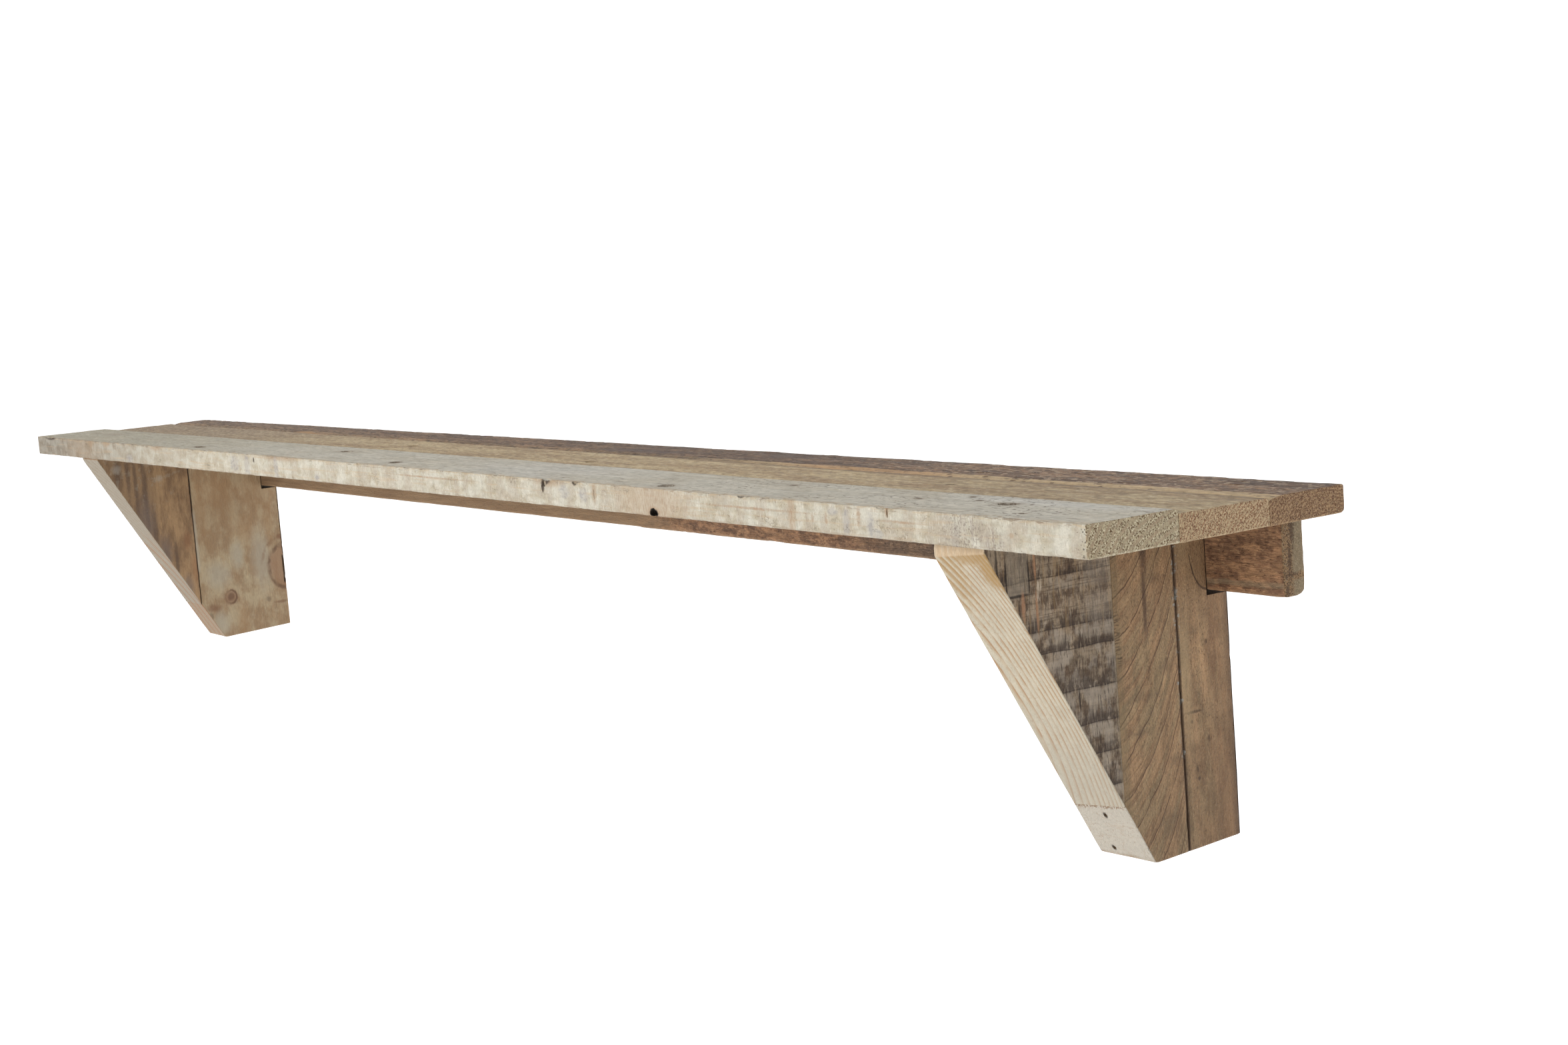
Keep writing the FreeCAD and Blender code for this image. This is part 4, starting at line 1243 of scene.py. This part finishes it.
def grey_brown_beam():
    """The right bracket's front beam: dark, with bands left by the saw."""
    f = Finish("grey_brown_beam", specular=0.28)
    fine = f.fibres((0.9, 0.9, 8), 51, detail=3.0)
    threads = f.fibres((2.2, 2.2, 26), 52, detail=4.0)
    cloud = f.grain((14, 9, 13), 53, detail=5.0, roughness=0.7)
    colour = f.blend(cloud.over(0.4, 0.6), tone(110, 90, 72), tone(168, 148, 124))
    violet = f.grain((20, 10, 16), 54, detail=4.0)
    low = f.z.under(-34, -8)
    colour = f.blend(violet.over(0.46, 0.58) * low * 0.5, colour, tone(176, 164, 150))
    sawn = f.z + 2.6 * (f.grain((60, 22, 8), 55, detail=3.0) - 0.5)
    fringe = 12 * (f.grain((30, 1.7, 16), 60, detail=3.0) - 0.5)
    bands = f.grain((90, 40, 3.2), 56, detail=4.0, roughness=0.7).over(0.36, 0.64)
    colour = f.lighten(colour, (0.52 + 0.22 * bands + 0.28 * threads + 0.26 * fine)
                       * (1.12 - 0.3 * f.z.under(-80, -20)))
    for level, height in ((1.0, 6.0), (-31.0, 12.0), (-45.0, 11.0), (-71.0, 13.0), (-93.0, 9.0),
                          (-112.0, 8.0), (-134.0, 7.0)):
        foot = sawn.over(level - 0.5, level + 0.3)
        below = foot * (sawn + fringe).under(level + 0.1 * height, level + height)
        edge = sawn.between(level - 0.3, level + 0.5, 0.3)
        under = sawn.between(level - 9, level - 1, 1) * violet.over(0.42, 0.52)
        colour = f.coats(colour, [
            (below * cloud.under(0.5, 0.64) * 0.75, tone(64, 50, 41)),
            (edge * 0.6, tone(50, 40, 34)),
            (under * 0.45, tone(180, 166, 148)),
        ])
    rows = f.grain((60, 30, 1.2), 61).over(0.54, 0.64) * f.z.between(-30, 12, 6)
    streak = f.grain((1.2, 1.2, 7), 57, detail=3.0)
    tannish = f.grain((3, 2.2, 34), 62, detail=3.0).over(0.54, 0.64) * f.z.over(-46, -20)
    rag = f.rag((3, 2.4, 3), 58)
    x = RIGHT_HIGH[ACROSS]
    block = (f.y + 0.8 * rag).between(-180, -163.5, 0.5) * (f.z + rag).over(-7.4, -6.0)
    block_tone = f.lighten(tone(158, 144, 126), 0.5 + 0.36 * threads + 0.32 * fine)
    grey = f.spots(rag * 0.6, [((x, -108, 2), (8, 12, 12)), ((x, -110, -22), (8, 10, 10))], 0.4)
    crack = f.spots(rag * 0.5, [((x, -187, 8), (5, 0.8, 18)), ((x, -180.5, 4), (5, 0.7, 14)),
                                ((x, -163, 4), (5, 0.6, 12)), ((x, -172, -7), (5, 10, 0.8)),
                                ((x, -129, -77), (5, 0.7, 6))], 0.5)
    peeled = f.spots(rag * 1.2, [((x, -168.5, -14), (4, 1.4, 8)), ((x, -158, 10), (4, 0.9, 9)),
                                 ((x, -158, -18), (4, 0.8, 12))], 0.5)
    fleck = f.spots(rag * 2.0, [((x, -156, -4), (4, 2.4, 4)), ((x, -157, -10), (4, 1.6, 2))], 0.4)
    rear_rim = (f.y + (1.4 - RIGHT_FRONT_JOINT) + 3 * rag).over(-0.6, 0.4)
    distance = plan_rings(f, (708, -134), 5, 59) - 50
    rings = (0.118 * distance + 0.0021 * distance * distance).fraction()
    fresh, speck = fresh_cut(f, rings)
    honey = f.spots(rag * 1.4, [((760, -192, 8), (12, 16, 38)),
                                ((799, -194, 4), (12, 12, 34))], 0.6)
    fresh = f.blend(honey * (0.12 + 0.6 * rings.over(0.15, 0.6)), fresh, tone(164, 132, 86))
    resin = f.spots(rag, [((797, -190, 5), (10, 8, 15)), ((786, -196, 18), (18, 5, 9))], 0.4)
    fresh = f.blend(resin * 0.7, fresh, tone(164, 130, 78))
    fresh = f.blend(f.z.under(-150, -60) * 0.45, fresh, tone(166, 159, 146))
    nose = (f.y - RIGHT_LOW[DEEP]).under(0.4, 0.9)
    fresh = f.blend(nose * 0.68, fresh, f.lighten(tone(208, 184, 154), 0.86 + 0.2 * speck))
    face = cut_face(f, RIGHT_BRACKET).most(nose)
    colour = f.coats(colour, [
        (rows * 0.45, tone(74, 58, 46)),
        (streak.over(0.57, 0.65) * 0.65, tone(66, 52, 43)),
        (streak.under(0.34, 0.42) * 0.4, tone(182, 164, 140)),
        (tannish * 0.5, tone(160, 132, 96)),
        (block * 0.62, block_tone),
        (grey * 0.4, tone(158, 146, 132)),
        (crack * 0.85, tone(42, 33, 28)),
        (peeled * 0.7, tone(186, 138, 104)),
        (fleck * fine.over(0.3, 0.7) * 0.85, tone(214, 196, 174)),
        (rear_rim * 0.35, tone(160, 142, 114)),
        (face, fresh),
    ])
    height = (1 - face) * (0.5 * fine + 0.7 * threads + 0.6 * bands)
    height = height + face * (0.3 * speck + 0.3 * rings)
    return f.done(colour, 0.62 + 0.2 * fine, height - 0.8 * crack, relief=0.4)


def hair_climb(f):
    """How high the middle beam's curving grain has climbed at each depth."""
    share = (f.y - CORE_LOW[DEEP]) / (CORE_HIGH[DEEP] - CORE_LOW[DEEP])
    return 22 * share + 56 * share * share


def curving_hairs(f, spacing, seed):
    """Hairlines that climb from the front arris: distance from one, and the place between two."""
    sway = f.grain((30, 26, 60), seed, detail=3.0)
    phase = ((f.z - hair_climb(f)) / spacing + 0.7 * sway).fraction()
    return abs(phase - 0.5) * spacing, (phase + 0.5).fraction()


def haired_marks(f, colour, rag, seed):
    """Hairlines, a dark head, comb marks and swirls on the middle beam."""
    x = RIGHT_HIGH[ACROSS]
    broken = f.grain((14, 8, 12), seed + 4).over(0.3, 0.46)
    strong, tongue = curving_hairs(f, 25.0, seed + 5)
    slight, sliver = curving_hairs(f, 8.6, seed + 6)
    colour = f.lighten(colour, 0.92 + 0.12 * tongue + 0.04 * sliver)
    dark = f.spots(rag * 0.6, [((x, -71, 12), (6, 3.0, 22)), ((x, -72, -24), (6, 1.6, 22))], 0.6)
    arris = (f.y - RIGHT_FRONT_JOINT + 3 * rag).under(3.0, 7.5)
    comb = f.spots(rag * 0.6, [((x, -96.5, -42), (6, 2.4, 14)), ((x, -95, -56), (6, 2.2, 6))], 0.5)
    comb = comb * f.grain((9, 9, 1.2), seed + 7, detail=1.0).over(0.5, 0.56)
    swirl = f.spots(rag * 1.6, [((x, -62, -12), (6, 5, 3)), ((x, -58, -68), (6, 5, 4)),
                                ((x, -77, -84), (6, 12, 3)), ((x, -54, -128), (6, 5, 3)),
                                ((x, -60, -168), (6, 8, 9)), ((x, -80, -106), (6, 9, 2))], 0.8)
    return f.coats(colour, [
        (strong.under(0.3, 0.9) * broken * 0.8, tone(80, 56, 40)),
        (slight.under(0.15, 0.8) * broken * 0.32, tone(100, 72, 50)),
        (dark * 0.7, tone(78, 54, 42)),
        (arris * 0.5, tone(130, 112, 82)),
        (comb * 0.7, tone(70, 54, 40)),
        (swirl * 0.4, tone(96, 76, 58)),
    ])


def smooth_marks(f, colour, rag, cloud):
    """An arc, nicks and pale patches on the rear beam, and a mask of painted shade, black in the
    notch and along the rear arris.
    """
    x = RIGHT_HIGH[ACROSS]
    arc = abs(f.away((x, -18.5, 6), (90, 14.5, 31)) - 1).under(0.012, 0.04)
    arc = arc * f.z.under(-3, 1) * f.y.under(-19.5, -18.5)
    marks = f.spots(rag, [((x, -38, -107), (5, 1.2, 1.2)), ((x, -36, -101), (5, 7, 0.9)),
                          ((x, -34, -144), (5, 1.2, 1.2)), ((x, -22, -58), (5, 1.0, 1.4)),
                          ((x, -24, -120), (5, 0.9, 2.2)), ((x, -35, -138), (5, 0.8, 2.2))], 0.5)
    pale = f.spots(rag, [((x, -41, -84), (6, 5, 40)), ((x, -38, 14), (6, 7, 16))], 0.8)
    colour = f.coats(colour, [
        (arc * 0.8, tone(60, 44, 36)),
        (marks * 0.75, tone(72, 54, 40)),
        (pale * 0.5, tone(186, 160, 122)),
    ])
    colour = f.lighten(colour, 1 - 0.1 * f.z.under(-150, -90))
    reddish = (f.y + 14 * (cloud - 0.5)).over(-32, -12)
    colour = f.coats(colour, [
        (reddish * 0.35, tone(140, 104, 76)),
        (f.y.over(-9, -2) * 0.55, tone(88, 66, 50)),
    ])
    # Painted shade: a black strip along the rear arris, next to the beam's right side.
    rear_arris_shade = (f.y + 0.6 * rag).over(-2.4, -1.7) * f.x.over(x - 1.5, x - 0.7)
    return colour, notch_shadow(f).most(rear_arris_shade * 0.9)


def warm_beam(name, seed, haired):
    """A warm brown beam of the right bracket, with a pale sawn foot at its diagonal."""
    f = Finish(name, specular=0.32)
    fine = f.fibres((1.0, 1.0, 1.6), seed, detail=3.0)
    threads = f.fibres((2.4, 2.4, 34), seed + 1, detail=3.0)
    flow, cloud_size, olive_size = f.place, (22, 10, 24), (30, 11, 44)
    if haired:
        flow = f.add("ShaderNodeCombineXYZ", {}, {0: f.x, 1: f.y, 2: f.z - hair_climb(f)})
        cloud_size, olive_size = (24, 20, 6), (30, 26, 15)
    cloud = f.grain(cloud_size, seed + 2, detail=5.0, roughness=0.65, place=flow)
    olive = f.grain(olive_size, seed + 9, detail=4.0, roughness=0.6, place=flow)
    veils = f.fibres((7, 5, 55), seed + 10, detail=3.0)
    colour = f.blend(cloud.over(0.38, 0.62), tone(188, 151, 112), tone(146, 115, 84))
    olive_share = olive.over(0.44, 0.58) * (0.5 if haired else 0.35)
    colour = f.blend(olive_share, colour, tone(164, 145, 110))
    colour = f.lighten(colour, 0.6 + 0.14 * threads + 0.26 * fine + 0.16 * veils)
    rag = f.rag((3, 2.4, 3), seed + 3)
    pores = f.grain((1.0, 1.0, 2.2), seed + 8, detail=3.0)
    colour = f.coats(colour, [
        (f.z.under(-180, -60) * 0.3, tone(110, 88, 64)),
        (f.z.over(-70, -20) * 0.35, f.lighten(tone(186, 146, 108), 0.72 + 0.3 * fine)),
        (pores.over(0.6, 0.67) * 0.45, tone(96, 70, 50)),
        (pores.under(0.32, 0.4) * 0.3, tone(206, 176, 138)),
    ])
    x = RIGHT_HIGH[ACROSS]
    # The smooth beam's mask of painted shade, black in its notch and along its rear arris; the
    # haired beam has none.
    painted_shade = None
    if haired:
        colour = haired_marks(f, colour, rag, seed)
    else:
        colour, painted_shade = smooth_marks(f, colour, rag, cloud)
    joint = abs(f.y - RIGHT_REAR_JOINT + 1.2 * (f.grain((9, 9, 20), 70) - 0.5))
    glue = joint.under(1.6, 3.4) * f.grain((4, 4, 3.4), 69, detail=3.0).over(0.54, 0.62)
    glue = glue * f.spots(rag, [((x, -46, 4), (8, 9, 18)), ((x, -46, -38), (8, 9, 20)),
                                ((x, -46, -84), (8, 9, 9)), ((x, -46, -122), (8, 9, 6))], 0.5)
    speck = f.fibres((1.0, 1.0, 2.4), 72)
    sawn = f.lighten(tone(193, 184, 169), 0.82 + 0.1 * speck + 0.2 * cloud)
    flecks = f.grain((1.1, 1.1, 2.4), 73)
    sawn = f.blend(flecks.over(0.62, 0.7) * 0.5, sawn, tone(154, 126, 100))
    veins = f.grain((26, 9, 20), 75, detail=3.0)
    sawn = f.blend(abs(veins - 0.5).under(0.005, 0.02) * 0.25, sawn, tone(168, 142, 116))
    face = cut_face(f, RIGHT_BRACKET)
    seam = (f.y + 1.6 * speck).under(CORE_LOW[DEEP] + 1.0, CORE_LOW[DEEP] + 1.8)
    sawn = f.blend(seam * 0.75, sawn, tone(128, 96, 62))
    holes = [((x_hole, y_hole, RIGHT_BRACKET.diagonal(x_hole, y_hole)), (1.7, 1.7, 3.0))
             for x_hole, y_hole in TOE_NAILS]
    sawn = f.blend(f.spots(rag * 0.5, holes, 0.3) * 0.85, sawn, tone(48, 38, 30))
    colour = f.coats(colour, [
        (joint.under(0.7, 2.0) * 0.75, tone(72, 52, 40)),
        (glue * 0.7, tone(168, 170, 164)),
        (face, sawn),
    ])
    height = 0.5 * fine + 0.4 * threads + 0.3 * speck - 0.5 * pores.over(0.6, 0.68)
    return f.done(colour, 0.56 + 0.2 * fine, height, relief=0.35, painted_shade=painted_shade)


def left_cut(f, stain, veil, shade):
    """The left bracket's diagonal: greyed pine, whose rings darken towards the foot."""
    distance = plan_rings(f, (-768, -85), 6, 86)
    rings = ((distance + 2.9) / 13.5).fraction()
    fresh, _ = fresh_cut(f, (distance / 4.5).fraction())
    fresh = f.lighten(f.blend(0.6, fresh, veil), shade)
    stained = f.z.under(-86, -56) * rings.over(0.45, 0.75) * rings.under(0.84, 0.98)
    return f.blend(stained * stain, fresh, tone(150, 110, 78))


def left_front_beam():
    """The left bracket's front beam: brown with dark upright streaks."""
    f = Finish("left_grey_brown_beam", specular=0.28)
    fine = f.fibres((1.4, 1.4, 5), 81, detail=3.0)
    threads = f.fibres((4, 4, 40), 82, detail=3.0)
    cloud = f.grain((20, 13, 34), 83, detail=5.0, roughness=0.65)
    colour = f.blend(cloud.over(0.38, 0.62), tone(182, 148, 110), tone(146, 116, 86))
    colour = f.lighten(colour, 0.8 + 0.1 * threads + 0.14 * fine)
    rag = f.rag((3, 2.4, 4), 84)
    x = LEFT_HIGH[ACROSS]
    dusky = (f.y + 22 * (cloud - 0.5)).under(-152, -138)
    streaks = f.spots(rag * 0.9, [((x, -154, -22), (8, 2.6, 46)), ((x, -164, -6), (8, 2.0, 32)),
                                  ((x, -147, -60), (8, 3.4, 26)), ((x, -172, 2), (8, 2.2, 22)),
                                  ((x, -183, 8), (8, 4, 14)), ((x, -126, -96), (8, 2, 22))], 0.7)
    violet = f.spots(rag, [((x, -156, -50), (9, 8, 26)), ((x, -138, -86), (9, 7, 18)),
                           ((x, -116, -128), (9, 6, 12))], 0.7)
    pale = f.grain((6, 6, 6), 85, detail=4.0).over(0.54, 0.66) * f.z.over(-60, -10)
    white = f.spots(rag * 1.4, [((x, -137, -3), (5, 4, 3.4)), ((x, -184, 12), (6, 5, 4))], 0.7)
    rusty = f.spots(rag, [((x, -106, -108), (8, 3.4, 14)), ((x, -112, -76), (8, 4, 10))], 0.7)
    joint = (f.y - LEFT_HIGH[DEEP] + rag).over(-1.6, -0.4)
    fresh = left_cut(f, 0.6, tone(174, 162, 145), 0.71)
    face = cut_face(f, LEFT_BRACKET)
    colour = f.coats(colour, [
        (dusky * 0.4, tone(128, 104, 82)),
        (streaks * 0.6, tone(92, 74, 64)),
        (violet * 0.62, tone(120, 106, 99)),
        (pale * 0.25, tone(178, 168, 150)),
        (white * 0.45, tone(188, 180, 166)),
        (rusty * 0.45, tone(148, 102, 70)),
        (joint * 0.7, tone(62, 48, 38)),
        (face, fresh),
    ])
    height = 0.5 * fine + 0.6 * threads
    return f.done(colour, 0.6 + 0.2 * fine, height, relief=0.4)


def ringed_knot(f, colour, centre, radius, rag, wood, ring):
    """A sound knot on an upright face, with a darker ring round it."""
    reach = f.away(centre, (3 * radius, radius, radius * 1.1)) + 0.5 * rag
    rearward = (f.y - centre[1]).over(-5, 3)
    colour = f.coats(colour, [
        (reach.under(0.6, 1.5) * 0.65, wood),
        (abs(reach - 0.9).under(0.05, 0.22) * (0.2 + 0.5 * rearward), ring),
    ])
    return f.blend(reach.under(0.3, 0.75) * 0.6, colour, ring)


def left_rear_beam():
    """The left bracket's rear beam: light tan with knots near its foot."""
    f = Finish("light_tan_beam", specular=0.32)
    fine = f.fibres((1.5, 1.5, 5), 91, detail=3.0)
    threads = f.fibres((4, 4, 50), 92, detail=3.0)
    cloud = f.grain((26, 18, 26), 93, detail=5.0, roughness=0.65)
    colour = f.blend(cloud.over(0.38, 0.62), tone(188, 168, 136), tone(164, 136, 104))
    colour = f.lighten(colour, 0.82 + 0.09 * threads + 0.14 * fine)
    rag = f.rag((7, 6, 9), 94, detail=4.0)
    x = LEFT_HIGH[ACROSS]
    brown = f.spots(rag, [((x, -70, -30), (9, 24, 32)), ((x, -28, -18), (9, 20, 34)),
                          ((x, -92, -46), (9, 8, 40)), ((x, -56, -176), (9, 6, 18)),
                          ((x, -44, -70), (9, 12, 16)), ((x, -16, -64), (9, 5, 34))], 0.8)
    colour = f.blend(brown * 0.45, colour, tone(164, 128, 90))
    colour = f.lighten(colour, 1 + 0.14 * f.z.over(-50, -15))
    grey = f.spots(rag, [((x, -28, -108), (9, 10, 30)), ((x, -80, -120), (9, 13, 13)),
                         ((x, -82, -174), (9, 9, 12)),
                         ((x, -56, -100), (9, 7, 14))], 0.7)
    colour = f.blend(grey * 0.6, colour, tone(180, 172, 154))
    colour = ringed_knot(f, colour, (x, -68, -146), 7.5, rag, tone(142, 106, 80), tone(98, 66, 48))
    uneven = f.grain((9, 9, 12), 95)
    faded = uneven.over(0.36, 0.6)
    patch = f.away((x, -1, -120), (30, 19, 25)) + 0.22 * (uneven - 0.5)
    inner_arc = abs(patch - 0.98).under(0.02, 0.17)
    outer_arc = abs(patch - 1.4).under(0.02, 0.16) * f.z.over(-122, -106)
    mark = f.spots(rag, [((x, -90, -156), (6, 8, 4)), ((x, -2, -86), (6, 5, 3)),
                         ((x, -8, -160), (6, 8, 1.6))], 0.6)
    smudge = f.spots(rag, [((x, -94, -165), (6, 3, 4)), ((x, -23.6, -155), (6, 3, 3))], 0.5)
    worn = f.y.under(LEFT_JOINT + 1.2, LEFT_JOINT + 4.4)
    worn = worn * (f.z + 14 * rag).between(-112, -44, 7)
    joint = (f.y - LEFT_JOINT + rag).under(0.4, 1.6) * (f.z + 14 * rag).over(-46, -40)
    # Painted shade: a black strip along the rear arris at the right side, and the notch painted
    # black.
    edge = (f.y + 0.5 * rag).over(-2.4, -1.6) * f.z.between(-107, -30, 3)
    edge = edge.most((f.y + rag).over(-3.6, -2.6) * f.z.between(-139, -107, 2))
    painted_shade = notch_shadow(f).most(edge * f.x.over(x - 1.5, x - 0.7) * 0.85)
    fresh = left_cut(f, 0.8, tone(176, 147, 116), 0.69)
    face = cut_face(f, LEFT_BRACKET)
    colour = f.coats(colour, [
        (patch.under(0.7, 1.2) * 0.65, tone(150, 110, 82)),
        (inner_arc * (0.2 + 0.5 * faded), tone(100, 70, 52)),
        (outer_arc * faded * 0.45, tone(128, 92, 66)),
        (mark * 0.65, tone(128, 90, 66)),
        (smudge * 0.5, tone(112, 98, 82)),
        (worn * 0.6, tone(186, 176, 158)),
        (joint * 0.7, tone(62, 48, 38)),
        (face, fresh),
    ])
    height = 0.5 * fine + 0.5 * threads
    return f.done(colour, 0.56 + 0.2 * fine, height, relief=0.35, painted_shade=painted_shade)


def fastener_steel():
    """Dull steel of nails and screws, a little rusty."""
    f = Finish("dull_steel", specular=0.5)
    rust = f.grain((1.4, 1.4, 1.4), 101, detail=4.0)
    scratches = f.grain((0.4, 0.4, 3), 102)
    rusty = rust.over(0.5, 0.66)
    colour = f.blend(rusty * 0.7, tone(128, 124, 120), tone(104, 68, 44))
    f.feed(f.shader, {"Metallic": 0.9 - 0.7 * rusty})
    return f.done(colour, 0.38 + 0.4 * rust, 0.5 * rust + 0.3 * scratches, relief=0.1)


# ---- putting the shelf together ------------------------------------------------------

front_plank(pale_board())
middle_plank(tan_board())
rear_plank(dark_board())
wall_rail(rail_wood())

beam("right_front_beam", "right_bracket_front_beam", RIGHT_BRACKET,
     RIGHT_BRACKET.nose, RIGHT_FRONT_JOINT, grey_brown_beam(), 500, tight="rear")
beam("right_middle_beam", "right_bracket_middle_beam", RIGHT_BRACKET,
     RIGHT_FRONT_JOINT, RIGHT_REAR_JOINT, warm_beam("warm_haired_beam", 110, haired=True), 600,
     cutters=toe_nail_holes(), tight="front")
beam("right_rear_beam", "right_bracket_rear_beam", RIGHT_BRACKET,
     RIGHT_REAR_JOINT, 0.0, warm_beam("warm_smooth_beam", 130, haired=False), 700, notched=True)
beam("left_front_beam", "left_bracket_front_beam", LEFT_BRACKET,
     LEFT_BRACKET.nose, LEFT_JOINT, left_front_beam(), 800)
beam("left_rear_beam", "left_bracket_rear_beam", LEFT_BRACKET,
     LEFT_JOINT, 0.0, left_rear_beam(), 900, notched=True)

steel = fastener_steel()
for node in ("shelf_nails", "right_bracket_nails", "rail_screws"):
    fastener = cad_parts[node]
    fastener.data.materials.clear()
    fastener.data.materials.append(steel)

# ---- studio, in metres ---------------------------------------------------------------

FLOOR_LEVEL = -4.8
FLOOR_REACH = 30.0
BACKDROP_DEPTH = 7.0
BACKDROP_TOP = 14.0
LENS = 56.174
SENSOR_WIDTH = 36.0
CAMERA_PLACE = (1.90572, -1.08963, 0.22164)
CAMERA_RIGHT = (0.56926857, 0.81855437, -0.0768247)
CAMERA_UP = (-0.05572786, 0.13164643, 0.98972907)
CAMERA_BACK = (0.82026075, -0.55914038, 0.12055846)


def studio_paper(name, near_edge, far_edge):
    """A wide sheet of white paper; an edge is its depth and level."""
    corners = [(way * FLOOR_REACH, *edge) for edge, way in
               ((near_edge, -1), (near_edge, 1), (far_edge, 1), (far_edge, -1))]
    surface = shaped(name, corners, [(0, 1, 2, 3)])
    paper = bpy.data.materials.new(name + "_paper")
    paper.use_nodes = True
    shader = paper.node_tree.nodes["Principled BSDF"]
    shader.inputs["Base Color"].default_value = (0.92, 0.92, 0.92, 1)
    shader.inputs["Roughness"].default_value = 0.9
    shader.inputs["Specular IOR Level"].default_value = 0.1
    shader.inputs["Emission Color"].default_value = (1, 1, 1, 1)
    shader.inputs["Emission Strength"].default_value = 0.42
    surface.data.materials.append(paper)


studio_paper("floor", (-FLOOR_REACH, FLOOR_LEVEL), (FLOOR_REACH, FLOOR_LEVEL))
studio_paper("backdrop", (BACKDROP_DEPTH, FLOOR_LEVEL), (BACKDROP_DEPTH, BACKDROP_TOP))

world = bpy.data.worlds.new("studio_air")
world.use_nodes = True
air = world.node_tree.nodes["Background"]
air.inputs["Color"].default_value = (1.0, 1.0, 1.0, 1)
air.inputs["Strength"].default_value = 0.6
bpy.context.scene.world = world


def soft_box(name, place, aim, size, power):
    """A square lamp that points at a place."""
    light = bpy.data.lights.new(name, "AREA")
    light.shape = "SQUARE"
    light.size = size
    light.energy = power
    lamp = placed(name, light)
    lamp.location = place
    lamp.rotation_euler = (Vector(aim) - Vector(place)).to_track_quat("-Z", "Y").to_euler()


soft_box("front_soft_box", (-1.2, -4.8, 1.3), (0, -0.1, 0), 3.0, 215)

camera_data = bpy.data.cameras.new("studio_camera")
camera_data.lens = LENS
camera_data.sensor_width = SENSOR_WIDTH
camera_data.clip_end = 200.0
camera = placed("studio_camera", camera_data)
turn = Matrix((CAMERA_RIGHT, CAMERA_UP, CAMERA_BACK)).transposed()
camera.matrix_world = Matrix.Translation(CAMERA_PLACE) @ turn.to_4x4()
bpy.context.scene.camera = camera
bpy.context.scene.view_settings.view_transform = "Standard"
